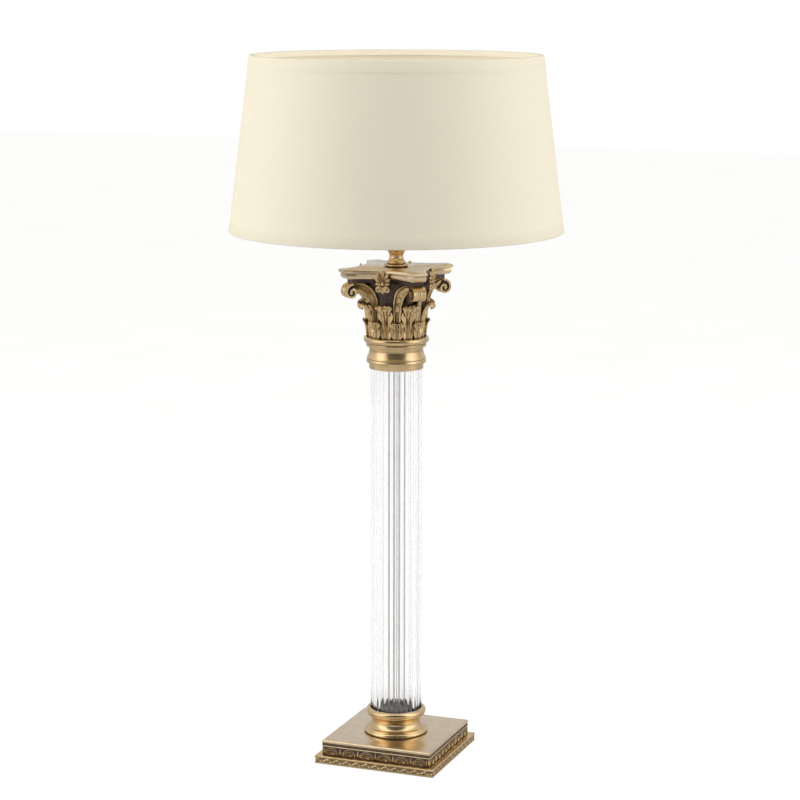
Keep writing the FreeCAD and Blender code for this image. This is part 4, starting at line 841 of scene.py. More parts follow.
@dataclass
class Frond:
    """A carved leaf along a line: ribs that fan out into rounded tips, with leaflets down both edges."""

    line: Sequence[Vector]
    widths: tuple[float, ...]
    side: Vector
    tips: int = 5
    crown: float = 0.13
    dome: float = 0.16
    rib: float = 1.2
    rib_share: float = 0.09
    ridge: float = 0.9
    flare: float = 1.3
    hug: float = 33.0
    leaflets: float = 3.0
    notch: float = 0.42
    slant: float = 0.22
    thickness: float = 1.1
    root: float = 2.2
    across: int = 44
    along: int = 52

    def half_at(self, share: float) -> float:
        """Half the leaf's width at a share of its length, before its edge is cut."""
        where = share * (len(self.widths) - 1)
        low = min(int(where), len(self.widths) - 2)
        return self.widths[low] + (self.widths[low + 1] - self.widths[low]) * (where - low)

    def rings(self) -> list[list[Vector]]:
        """The leaf's closed cross rings, from its foot to its tips."""
        last = self.along * 2
        places = spline(self.line, last + 1)
        result = []
        for step in range(self.along + 1):
            share = step / self.along
            front, back = [], []
            for number in range(self.across + 1):
                aside = 2 * number / self.across - 1
                edge = abs(aside)
                crest = abs(math.cos(math.pi * self.tips * aside / 2))
                where = share * (1 - self.dome * aside ** 2) * (1 - self.crown * (1 - crest ** 0.8))
                index = min(int(where * last), last - 1)
                place = places[index].lerp(places[index + 1], where * last - index)
                ahead = (places[min(index + 2, last)] - places[max(index - 1, 0)]).normalized()
                out = self.side.cross(ahead).normalized()
                part = (self.leaflets * (where + self.slant * (1 - edge))) % 1.0
                full = math.sin(math.pi * part ** 0.8) ** 0.6
                half = self.half_at(where) * (1 - self.notch * (1 - full) * edge ** 2)
                grown = min(1.0, 0.2 + 1.6 * share)
                lobed = smooth(edge, 0.30, 0.55) * (1 - smooth(where, 0.66, 0.86))
                height = self.rib * math.exp(-((aside / self.rib_share) ** 2)) * (1 - 0.5 * share)
                height += self.ridge * (crest - 0.6) * grown * (1 - 0.75 * lobed)
                height += self.ridge * 1.5 * (full - 0.65) * lobed + self.flare * edge ** 3 * full * grown
                height -= (aside * half) ** 2 / (2 * self.hug)
                depth = (self.thickness + self.root * (1 - smooth(share, 0.25, 0.75))) * math.sqrt(
                    (1 - edge ** 4) * (1 - share ** 10))
                here = place + self.side * aside * half
                front.append(here + out * height)
                back.append(here + out * (height - depth * (1 + 0.5 * crest * share)))
            result.append(front + back[-2:0:-1])
        return result

    def shape(self) -> Shape:
        """The leaf, closed at its tips and its foot."""
        shape = Shape()
        shape.sweep(self.rings(), capped=False)
        bmesh.ops.remove_doubles(shape.mesh, verts=shape.mesh.verts, dist=0.004)
        rims = [edge for edge in shape.mesh.edges if edge.is_boundary]
        bmesh.ops.holes_fill(shape.mesh, edges=rims, sides=0)
        return shape


# ---------------------------------------------------------------- plinth


@dataclass
class Plinth:
    """The square foot: a step with a vine band, a dark frieze of palmettes and a satin top plate."""

    step_half: float = 73.05
    band_half: float = 72.35
    step_foot: float = 0.6
    band_low: float = 2.2
    band_high: float = 7.6
    step_top: float = 9.8
    frieze_half: float = 65.7
    frieze_top: float = 19.6
    cap_half: float = 66.85
    groove_half: float = 66.05
    groove_low: float = 21.0
    groove_high: float = 24.0
    top: float = 27.3
    edge_round: float = 2.2
    inner_half: float = 62.7
    rabbet_half: float = 67.05
    rabbet_top: float = 3.0
    plate_under: float = 23.3
    rod_half: float = 6.0
    inlet_height: float = 6.0
    inlet_radius: float = 3.1
    waves: int = 12
    fans: int = 6
    pearls: int = 70
    pearl_radius: float = 0.72

    def build(self) -> None:
        """Model the plinth from the table up."""
        self.step()
        self.vine()
        self.frieze()
        self.cap()
        self.pearl_row()

    def step(self) -> None:
        """The lowest step, hollow below, with the hole for the cord's bushing at the rear."""
        outer = Outline(self.step_half, self.step_foot)
        outer.to((self.step_half, self.band_low), (self.band_half, self.band_low),
                 (self.band_half, self.band_high), (self.step_half - 0.5, self.band_high))
        outer.bead(0.95, (self.step_half - 0.7, self.step_top), 8)
        outer.to((self.inner_half, self.step_top), (self.inner_half, self.rabbet_top),
                 (self.rabbet_half, self.rabbet_top), (self.rabbet_half, self.step_foot))
        shape = Shape()
        shape.square(outer.softened(0.35))
        made = shape.piece("plinth_step", CAST_BRASS, Body.LAMP, "base_step")
        cutter = Shape()
        bmesh.ops.create_cone(cutter.mesh, cap_ends=True, segments=32, radius1=self.inlet_radius,
                              radius2=self.inlet_radius, depth=20,
                              matrix=moved(0, self.step_half, self.inlet_height) @ turned_by(90, "X"))
        bore(made, cutter)

    def vine(self) -> None:
        """The running vine in the step's hollow band, on all four sides."""
        pitch = 2 * self.band_half / self.waves
        middle = (self.band_low + self.band_high) / 2
        band = Shape()
        band.stamp(Vine(pitch).wave(), [moved(-self.band_half + pitch * number, middle)
                                        for number in range(self.waves)])
        shape = Shape()
        shape.stamp(band, [on_wall(self.band_half, side) for side in range(4)])
        shape.piece("vine_band", DEEP_BRASS, Body.LAMP)
        self.ground("vine_ground", BAND_GROUND, self.band_half, self.band_low, self.band_high)

    def frieze(self) -> None:
        """The dark wall and its row of palmettes and buds."""
        wall = Outline(self.frieze_half, self.step_top)
        wall.to((self.frieze_half, self.frieze_top), (self.inner_half, self.frieze_top),
                (self.inner_half, self.step_top))
        shape = Shape()
        shape.square(wall.softened(0.25))
        shape.piece("frieze_wall", GROUND, Body.LAMP, "plinth_frieze")

        pitch = 2 * self.frieze_half / self.fans
        ornament = Anthemion()
        low = self.step_top
        row = Shape()
        starts = [-self.frieze_half + pitch * (number + 0.5) for number in range(self.fans)]
        row.stamp(ornament.fan(), [moved(across, low) for across in starts])
        row.stamp(ornament.bud(), [moved(across + pitch / 2, low) for across in starts[:-1]])
        for side in (-1, 1):
            row.petal(moved(side * (self.frieze_half - 2.6), low), 8.6, 1.6, 2.0, -0.3, sides=8, rings=6)
            row.petal(moved(side * (self.frieze_half - 0.2), low), 9.4, 1.7, 2.2, -0.1, sides=8, rings=6)
        shape = Shape()
        shape.stamp(row, [on_wall(self.frieze_half, side) for side in range(4)])
        shape.piece("palmette_frieze", DEEP_BRASS, Body.LAMP)

    def cap(self) -> None:
        """The top plate: bead, groove, rounded edge and a wide satin top."""
        edge = Outline(self.inner_half, self.frieze_top).to((self.cap_half - 0.55, self.frieze_top))
        edge.bead(0.75, (self.cap_half - 0.35, self.groove_low), 8)
        edge.to((self.groove_half, self.groove_low), (self.groove_half, self.groove_high),
                (self.cap_half, self.groove_high), (self.cap_half, self.top - self.edge_round))
        corner = self.edge_round * (1 - math.sqrt(0.5))
        edge.arc((self.cap_half - corner, self.top - corner), (self.cap_half - self.edge_round, self.top), 8)
        edge.to((self.rod_half, self.top), (self.rod_half, self.plate_under),
                (self.inner_half, self.plate_under))
        shape = Shape()
        shape.square(edge.softened(0.3))
        shape.piece("top_plate", PLATE_BRASS, Body.LAMP, "plinth_cap")

    def ground(self, name: str, finish: DarkPatina, half: float, low: float, high: float) -> None:
        """The lacquer left in a sunk band.

        Args:
            name: The piece's name.
            finish: How dark it is.
            half: How far the band's wall is from the axis.
            low: Where it starts.
            high: Where it ends.
        """
        film = Outline(half - 0.3, low + 0.02)
        film.to((half + 0.06, low + 0.02), (half + 0.06, high - 0.02), (half - 0.3, high - 0.02))
        shape = Shape()
        shape.square(film.points)
        shape.piece(name, finish, Body.LAMP)

    def pearl_row(self) -> None:
        """The fine beads in the dark groove under the plate's edge."""
        self.ground("groove_ground", GROUND, self.groove_half, self.groove_low, self.groove_high)
        pitch = 2 * self.groove_half / self.pearls
        middle = (self.groove_low + self.groove_high) / 2
        pearl = Shape()
        bmesh.ops.create_uvsphere(pearl.mesh, u_segments=8, v_segments=6, radius=self.pearl_radius)
        row = Shape()
        row.stamp(pearl, [moved(-self.groove_half + pitch * (number + 0.5), middle)
                          for number in range(self.pearls)])
        shape = Shape()
        shape.stamp(row, [on_wall(self.groove_half, side) for side in range(4)])
        shape.piece("pearl_row", PEARL_BRASS, Body.LAMP)


def bore(target: bpy.types.Object, cutter: Shape) -> None:
    """Cut a shape out of a finished piece.

    Args:
        target: The piece.
        cutter: What is cut away, in millimetres; it is used up.
    """
    bmesh.ops.scale(cutter.mesh, vec=(MM, MM, MM), verts=cutter.mesh.verts)
    block = bpy.data.meshes.new("cutter")
    cutter.mesh.to_mesh(block)
    cutter.mesh.free()
    tool = bpy.data.objects.new("cutter", block)
    bpy.context.scene.collection.objects.link(tool)
    cut = target.modifiers.new("bore", "BOOLEAN")
    cut.operation = "DIFFERENCE"
    cut.object = tool
    bpy.context.view_layer.update()
    done = bpy.data.meshes.new_from_object(target.evaluated_get(bpy.context.evaluated_depsgraph_get()))
    target.modifiers.clear()
    old = target.data
    target.data = done
    done.name = target.name
    bpy.data.meshes.remove(old)
    bpy.data.objects.remove(tool)
    bpy.data.meshes.remove(block)


# ---------------------------------------------------------------- column


@dataclass
class BaseRing:
    """The turned ring that holds the foot of the glass."""

    low: float = 27.3
    bead_radius: float = 37.4
    bead_top: float = 31.9
    fillet_radius: float = 35.6
    fillet_top: float = 33.5
    scotia_radius: float = 28.8
    scotia_top: float = 48.5
    rim_radius: float = 33.9
    rim_fillet_top: float = 49.7
    rim_bead_radius: float = 35.0
    rim_bead_top: float = 55.3
    top: float = 56.6
    edge_radius: float = 32.4
    socket_radius: float = 30.2
    seat: float = 48.1
    under: float = 43.1
    hollow: float = 22.8
    rod_hole: float = 5.2

    def build(self) -> None:
        """Turn the ring."""
        root = self.bead_radius - 1.3
        line = Outline(self.hollow, self.low).to((root, self.low))
        line.bead(1.3, (root, self.bead_top)).to((self.fillet_radius, self.bead_top),
                                                 (self.fillet_radius - 0.2, self.fillet_top - 0.4),
                                                 (self.fillet_radius - 1.0, self.fillet_top))
        line.arc((self.scotia_radius, (self.fillet_top + self.scotia_top) / 2),
                 (self.rim_radius - 0.5, self.scotia_top), 24)
        line.to((self.rim_radius, self.scotia_top + 0.2), (self.rim_radius, self.rim_fillet_top))
        line.arc((self.rim_bead_radius, (self.rim_fillet_top + self.rim_bead_top) / 2),
                 (self.rim_radius, self.rim_bead_top), 16)
        line.to((self.edge_radius, self.top), (self.socket_radius, self.top), (self.socket_radius, self.seat),
                (self.rod_hole, self.seat), (self.rod_hole, self.under), (self.hollow, self.under))
        shape = Shape()
        shape.turn(line.softened(0.3))
        shape.piece("foot_ring", TURNED_BRASS, Body.LAMP, "base_ring")


@dataclass
class GlassColumn:
    """The clear fluted tube."""

    low: float = 49.1
    high: float = 467.5
    radius: float = 29.8
    bore: float = 25.0
    flutes: int = 24
    flute_radius: float = 4.6
    ridge_half: float = 1.0
    steps: int = 24

    def hollow(self, aside: float) -> float:
        """How deep the wall is cut beside a ridge's crest: first the rounded ridge, then the round flute."""
        half = math.pi * self.radius / self.flutes
        lean = math.asin((half - self.ridge_half) / self.flute_radius)
        ridge = self.ridge_half / math.sin(lean)
        if aside < self.ridge_half:
            return ridge - math.sqrt(ridge ** 2 - aside ** 2)
        foot = ridge * (1 - math.cos(lean))
        rise = math.sqrt(self.flute_radius ** 2 - (half - aside) ** 2)
        return foot + rise - self.flute_radius * math.cos(lean)

    def ring(self, height: float, bored: bool) -> list[Vector]:
        """One outline of the tube at a height.

        Args:
            height: Its height.
            bored: Whether it is the round bore or the fluted outside, where rounded ridges part the flutes.

        Returns:
            Its places.
        """
        pitch = 2 * math.pi / self.flutes
        places = []
        for number in range(self.flutes * self.steps):
            turn = 2 * math.pi * number / (self.flutes * self.steps)
            aside = abs((turn % pitch) - pitch / 2)
            reach = self.bore if bored else self.radius - self.hollow(aside * self.radius)
            places.append(Vector((reach * math.cos(turn), reach * math.sin(turn), height)))
        return places

    def build(self) -> None:
        """Carry the bore's outline out over the foot, up the flutes, in over the top and down again."""
        corners = ((self.low, True), (self.low, False), (self.high, False), (self.high, True),
                   (self.low, True))
        shape = Shape()
        shape.sweep([self.ring(height, bored) for height, bored in corners], capped=False)
        shape.piece("fluted_tube", GLASS, Body.LAMP, "glass_column", crease=20.0)


@dataclass
class Necking:
    """The turned cup over the glass and the astragal under the leaves."""

    low: float = 460.0
    socket_radius: float = 30.2
    band_radius: float = 31.1
    band_top: float = 466.4
    bead_radius: float = 34.2
    bead_root: float = 33.3
    bead_top: float = 471.2
    groove_top: float = 472.0
    swell_radius: float = 33.9
    swell_top: float = 480.6
    neck_radius: float = 30.9
    neck_top: float = 485.0
    rim_radius: float = 34.4
    top: float = 485.8
    seat: float = 468.5
    web_top: float = 472.5
    hollow: float = 24.0
    rod_hole: float = 5.2
    fillet_top: float = 489.4
    ring_groove: float = 33.6
    ring_groove_top: float = 490.3
    ring_radius: float = 37.4
    ring_top: float = 496.8

    def build(self) -> None:
        """Turn the cup and the astragal."""
        middle = ((self.swell_radius + self.neck_radius) / 2 - 0.5, (self.groove_top + self.swell_top) / 2)
        line = Outline(self.socket_radius, self.low)
        line.to((self.band_radius, self.low), (self.band_radius, self.band_top),
                (self.bead_root, self.band_top))
        line.bead(self.bead_radius - self.bead_root, (self.bead_root, self.bead_top))
        line.to((self.bead_root - 0.3, self.bead_top + 0.1), (self.bead_root - 0.3, self.groove_top),
                (self.swell_radius, self.groove_top))
        line.arc(middle, (self.neck_radius, self.swell_top), 16)
        line.to((self.neck_radius, self.neck_top), (self.rim_radius, self.top), (self.hollow, self.top),
                (self.hollow, self.web_top), (self.rod_hole, self.web_top), (self.rod_hole, self.seat),
                (self.socket_radius, self.seat))
        cup = Shape()
        cup.turn(line.softened(0.3))
        cup.piece("necking_cup", TURNED_BRASS, Body.LAMP, "neck_cup")

        root = self.ring_radius - 1.5
        line = Outline(self.hollow, self.top)
        line.to((self.rim_radius, self.top), (self.rim_radius, self.fillet_top),
                (self.ring_groove, self.fillet_top), (self.ring_groove, self.ring_groove_top),
                (root, self.ring_groove_top))
        line.bead(1.5, (root, self.ring_top)).to((self.hollow, self.ring_top))
        ring = Shape()
        ring.turn(line.softened(0.25))
        ring.piece("astragal", TURNED_BRASS, Body.LAMP, "astragal_ring")


# ---------------------------------------------------------------- capital


@dataclass
class Capital:
    """Two tiers of acanthus, four corner volutes on leafy stems, side palmettes and the abacus."""

    foot: float = 496.8
    volute_reach: float = 65.5
    volute_top: float = 560.8
    volute_radius: float = 9.6
    volute_shrink: float = 0.79
    volute_band: float = 2.3
    volute_width: float = 15.0
    volute_rim: float = 1.7
    volute_ribs: int = 4
    volute_stem: float = 22.5
    quarters: int = 6
    abacus_low: float = 565.9
    fascia_top: float = 571.9
    groove_top: float = 573.1
    abacus_top: float = 576.5
    lip_round: float = 1.2
    corner: float = 68.2
    waist: float = 42.0
    corner_width: float = 15.0
    fleuron_low: float = 549.8
    fleuron_top: float = 578.3
    fleuron_out: float = 40.9

    def build(self) -> None:
        """Model the capital from its leaves up."""
        self.leaves()
        for number, corner in enumerate(("front_left", "front_right", "rear_right", "rear_left")):
            self.volute(corner, 225 + 90 * number)
        for number, side in enumerate(("front", "right", "rear", "left")):
            self.fleuron(side, 90 * number)
        self.abacus()

    def leaves(self) -> None:
        """The tall tier behind and the short tier before it, eight leaves each."""
        low = self.foot
        aside = Vector((0, 1, 0))
        tall = Frond(
            line=[Vector((radius, 0, low + rise)) for radius, rise in (
                (31.6, 0), (32.2, 12), (33.0, 22), (35.0, 30), (38.4, 36.6), (42.0, 39.2), (44.2, 37.4),
                (44.0, 34.2), (42.6, 32.4))],
            widths=(6.8, 8.6, 9.8, 10.0, 9.4, 8.0), side=aside, leaflets=4.6, notch=0.5, ridge=1.35, rib=1.5,
            flare=1.7, across=60, along=48,
        )
        short = Frond(
            line=[Vector((radius, 0, low + rise)) for radius, rise in (
                (33.4, 0), (33.9, 7), (34.8, 13), (36.4, 17.6), (37.6, 18.4), (38.0, 17.2))],
            widths=(5.6, 7.6, 9.2, 9.6, 8.6), side=aside, tips=7, rib=1.0, ridge=1.2, flare=1.3, leaflets=2.4,
            thickness=0.9, root=3.2, across=56, along=34,
        )
        shape = Shape()
        shape.stamp(tall.shape(), [turned_by(45 * number) for number in range(8)])
        shape.piece("tall_leaves", DEEP_BRASS, Body.LAMP, "upper_leaf_tier", crease=60)
        shape = Shape()
        shape.stamp(short.shape(), [turned_by(45 * number + 22.5) for number in range(8)])
        shape.piece("short_leaves", DEEP_BRASS, Body.LAMP, "lower_leaf_tier", crease=60)

    def spiral(self) -> tuple[list[tuple[Vector, Vector]], Vector]:
        """The scroll's middle line in its own plane, of quarter circles that shrink from its top to its eye.

        Returns:
            The line, as places and their ways out, and the eye's place.
        """
        half = self.volute_band / 2
        centre = Vector((self.volute_reach - self.volute_radius, 0, self.volute_top - self.volute_radius))
        line = []

        def add(middle: Vector, radius: float, degrees: float) -> None:
            """Add the place of a circle at an angle."""
            out = Vector((math.cos(math.radians(degrees)), 0, math.sin(math.radians(degrees))))
            line.append((middle + out * (radius - half), out))

        radius, angle = self.volute_radius, 90
        for _ in range(self.quarters):
            for step in range(10):
                add(centre, radius, angle - 9 * step)
            angle -= 90
            smaller = radius * self.volute_shrink
            out = Vector((math.cos(math.radians(angle)), 0, math.sin(math.radians(angle))))
            centre = centre + out * (radius - smaller)
            radius = smaller
        add(centre, radius, angle)
        return line, centre

    def volute(self, corner: str, degrees: float) -> None:
        """One corner scroll: ribbed band, sunk channel, domed eye and two leafy stems.

        Args:
            corner: The corner's name.
            degrees: Which way it faces.
        """
        line, eye = self.spiral()
        half, thick = self.volute_width / 2, self.volute_band / 2
        channel = half - self.volute_rim
        section = []
        for step in range(29):
            across = half * (step / 14 - 1)
            wave = abs(math.sin(math.pi * self.volute_ribs * (across + channel) / (2 * channel)))
            section.append((across, thick if abs(across) > channel else thick - 0.5 * (1 - wave)))
        section += [(half, -thick), (half - 1.6, -thick + 0.2), (-half + 1.6, -thick + 0.2), (-half, -thick)]
        shape = Shape()
        rings = [[place + out * up + Vector((0, across, 0)) for across, up in section] for place, out in line]
        shape.sweep(rings)
        bmesh.ops.create_uvsphere(shape.mesh, u_segments=24, v_segments=14, radius=1.0,
                                  matrix=Matrix.Translation(eye) @ Matrix.Diagonal((2.7, half + 0.4, 2.7, 1)))
        for hand in (-1, 1):
            self.stem(shape, hand)
        bmesh.ops.transform(shape.mesh, matrix=turned_by(degrees), verts=shape.mesh.verts)
        shape.piece(f"scroll_{corner}", DEEP_BRASS, Body.LAMP, f"volute_{corner}", crease=50)

        core = Shape()
        disc = [place for place, _ in line[:40]]
        core.sweep([[place + Vector((0, side * (half - 2.2), 0)) for place in disc] for side in (-1, 1)])
        reach = self.volute_reach - self.volute_radius
        strut = Outline(reach - self.volute_stem + 2.0, self.volute_top - self.volute_stem)
        strut.arc((reach - self.volute_stem * 0.67, self.volute_top - self.volute_stem * 0.33),
                  (reach, self.volute_top - 3.0), 12)
        path = [Vector((across, 0, up)) for across, up in strut.points]
        core.cane(path, (3.2, 3.6, 3.0), Vector((0, 1, 0)), 1.6, 12)
        bmesh.ops.transform(core.mesh, matrix=turned_by(degrees), verts=core.mesh.verts)
        core.piece(f"scroll_ground_{corner}", GROUND, Body.LAMP)

    def stem(self, shape: Shape, hand: int) -> None:
        """A leafy stem that rises between two leaves and arches over into the scroll.

        Args:
            shape: The scroll it is cast with.
            hand: 1 or -1, the side of the scroll it feeds.
        """
        def polar(radius: float, turn: float, rise: float) -> Vector:
            """A place round the bell, on this stem's side of the corner."""
            angle = math.radians(turn * hand)
            return Vector((radius * math.cos(angle), radius * math.sin(angle), self.foot + rise))

        look = Vector((1, hand, 0)).normalized()
        line = spline([polar(33.4, 22.5, 10), polar(34.4, 22.5, 28), polar(36.6, 21.6, 42),
                       polar(40.2, 18.0, 52.5), polar(45.6, 12.2, 58.2),
                       Vector((51.5, hand * 7.0, self.foot + 60.4)),
                       Vector((57.0, hand * 6.4, self.foot + 60.6))], 44)
        section = ((-1.0, 0.1), (-0.96, 0.9), (-0.84, 1.25), (-0.70, 0.9), (-0.64, 0.1), (-0.52, -0.9),
                   (-0.34, -0.9), (-0.26, 0.2), (-0.14, 0.8), (0.0, 0.2), (0.13, 0.95), (0.27, 0.2),
                   (0.41, 0.95), (0.55, 0.2), (0.70, 0.8), (0.86, 0.1), (1.0, -0.5), (1.0, -2.2),
                   (-1.0, -2.2))
        halves = (3.0, 4.2, 5.4, 6.0, 5.2, 3.6, 2.4)
        rings = []
        for index, place in enumerate(line):
            ahead = (line[min(index + 1, len(line) - 1)] - line[max(index - 1, 0)]).normalized()
            over = ahead.cross(look).normalized() * hand
            out = (over.cross(ahead) * hand).normalized()
            where = index / (len(line) - 1) * (len(halves) - 1)
            low = min(int(where), len(halves) - 2)
            half = halves[low] + (halves[low + 1] - halves[low]) * (where - low)
            rings.append([place - over * half * across + out * height for across, height in section])
            if index in (10, 16, 21, 26, 31):
                basis = Matrix((-over, -ahead, out)).transposed().to_4x4()
                for across, turn, length in ((0.75, 34, 7.0), (0.85, 66, 6.0), (0.8, 96, 5.0)):
                    root = Matrix.Translation(place - over * half * across * 0.8 + out * 0.2) @ basis
                    shape.petal(root @ turned_by(turn * hand + 180), length, 3.0, 2.0, 0.4, lift=1.5,
                                sides=10, rings=8)
        shape.sweep(rings)

    def fleuron(self, side: str, degrees: float) -> None:
        """The palmette on the middle of a hollow side: seven petals over two scrolls.

        Args:
            side: The side's name.
            degrees: Quarter turns from the front.
        """
        shape = Shape()
        tall = self.fleuron_top - self.fleuron_low
        heart = 11.5
        petals = ((0, tall - heart, 5.0), (27, 14.0, 4.2), (-27, 14.0, 4.2), (52, 10.5, 3.9),
                  (-52, 10.5, 3.9), (80, 8.4, 3.6), (-80, 8.4, 3.6))
        for angle, length, width in petals:
            place = moved(0, heart) @ turned_by(-angle)
            shape.petal(place, length, width, 3.4, 0.8, bend=angle / 80 * 1.3, lift=1.2, sides=12, rings=9)
            shape.petal(place @ moved(0, 0, 0.9), length * 0.86, width * 0.3, 2.6, 0.3, bend=angle / 80 * 1.0,
                        lift=1.5, sides=8, rings=8)
        shape.petal(moved(0, heart - 2.6), 5.4, 5.0, 5.0, 0.2, sides=12, rings=8)
        for hand in (-1, 1):
            curl = [Vector((hand * (0.7 + 4.1 + reach * math.cos(turn)), 4.9 + reach * math.sin(turn), 0.5))
                    for turn, reach in ((math.pi * (1.1 - 2.3 * step / 20), 4.1 * (1 - step / 26))
                                        for step in range(21))]
            shape.cane(curl, (1.1, 1.4, 1.3, 1.1, 1.0), UP, 1.3, 8)
            shape.petal(moved(hand * 0.9, 1.0) @ turned_by(-24 * hand), 8.4, 3.6, 3.0, 0.2, bend=hand * 1.6,
                        lift=0.6)
            shape.petal(moved(hand * 1.2, 8.8) @ turned_by(-66 * hand), 8.2, 3.6, 3.0, 0.5, bend=hand * -1.2,
                        lift=0.6)
        shape.petal(moved(), 9.0, 3.0, 3.4, -0.2, sides=10, rings=8)
        place = turned_by(degrees) @ moved(y=-self.fleuron_out - 1.6, z=self.fleuron_low) @ turned_by(90, "X")
        bmesh.ops.transform(shape.mesh, matrix=place, verts=shape.mesh.verts)
        shape.piece(f"palmette_{side}", DEEP_BRASS, Body.LAMP, f"fleuron_{side}", crease=60)

    def outline(self, inset: float, height: float) -> list[Vector]:
        """The abacus's outline drawn in by an inset: four hollow sides and four cut corners."""
        reach = (self.corner - inset) * math.sqrt(0.5)
        across = self.corner_width / 2 * math.sqrt(0.5)
        near, far, waist = reach - across, reach + across, self.waist - inset
        side = Outline(far, -near).arc((waist, 0), (far, near), 28).points
        return [turned_by(90 * quarter) @ Vector((x, y, height)) for quarter in range(4) for x, y in side]

    def abacus(self) -> None:
        """The moulded plate with hollow sides: chamfered fascia, dark groove and a rounded lip."""
        steps = [(5.0, self.abacus_low), (2.75, self.abacus_low + 2.1), (2.6, self.abacus_low + 2.6),
                 (2.6, self.fascia_top - 0.3), (2.9, self.fascia_top), (3.6, self.fascia_top),
                 (3.6, self.groove_top), (0.25, self.groove_top), (0.0, self.groove_top + 0.25)]
        for turn in (0, 18, 36, 54, 72, 90):
            angle = math.radians(turn)
            steps.append((self.lip_round * (1 - math.cos(angle)),
                          self.abacus_top - self.lip_round * (1 - math.sin(angle))))
        shape = Shape()
        shape.sweep([self.outline(inset, height) for inset, height in steps])
        shape.piece("abacus_plate", PLATE_BRASS, Body.LAMP, "abacus", crease=28)


# ---------------------------------------------------------------- stem and shade


@dataclass
class NeckStem:
    """The small turned stem between the abacus and the lampholder."""

    low: float = 576.5
    foot_radius: float = 11.1
    foot_top: float = 577.9
    bead_radius: float = 14.1
    bead_top: float = 579.7
    groove_radius: float = 9.9
    groove_top: float = 580.1
    bulge_radius: float = 10.8
    bulge_top: float = 582.8
    waist_radius: float = 7.9
    waist_height: float = 588.4
    flare_radius: float = 11.7
    flare_top: float = 595.8
    top: float = 598.0
    rod_hole: float = 5.2

    def build(self) -> None:
        """Turn the stem."""
        root = self.bead_radius - 0.9
        line = Outline(self.rod_hole, self.low)
        line.to((self.foot_radius, self.low), (self.foot_radius, self.foot_top), (root, self.foot_top))
        line.bead(0.9, (root, self.bead_top), 8).to((self.groove_radius, self.bead_top),
                                                    (self.groove_radius, self.groove_top))
        line.bead(self.bulge_radius - self.groove_radius, (self.groove_radius, self.bulge_top), 8)
        line.arc((self.waist_radius, self.waist_height), (self.flare_radius, self.flare_top), 20)
        line.to((self.flare_radius, self.top), (self.rod_hole, self.top))
        shape = Shape()
        shape.turn(line.softened(0.2), 96)
        shape.piece("stem_turning", TURNED_BRASS, Body.LAMP, "neck_stem")


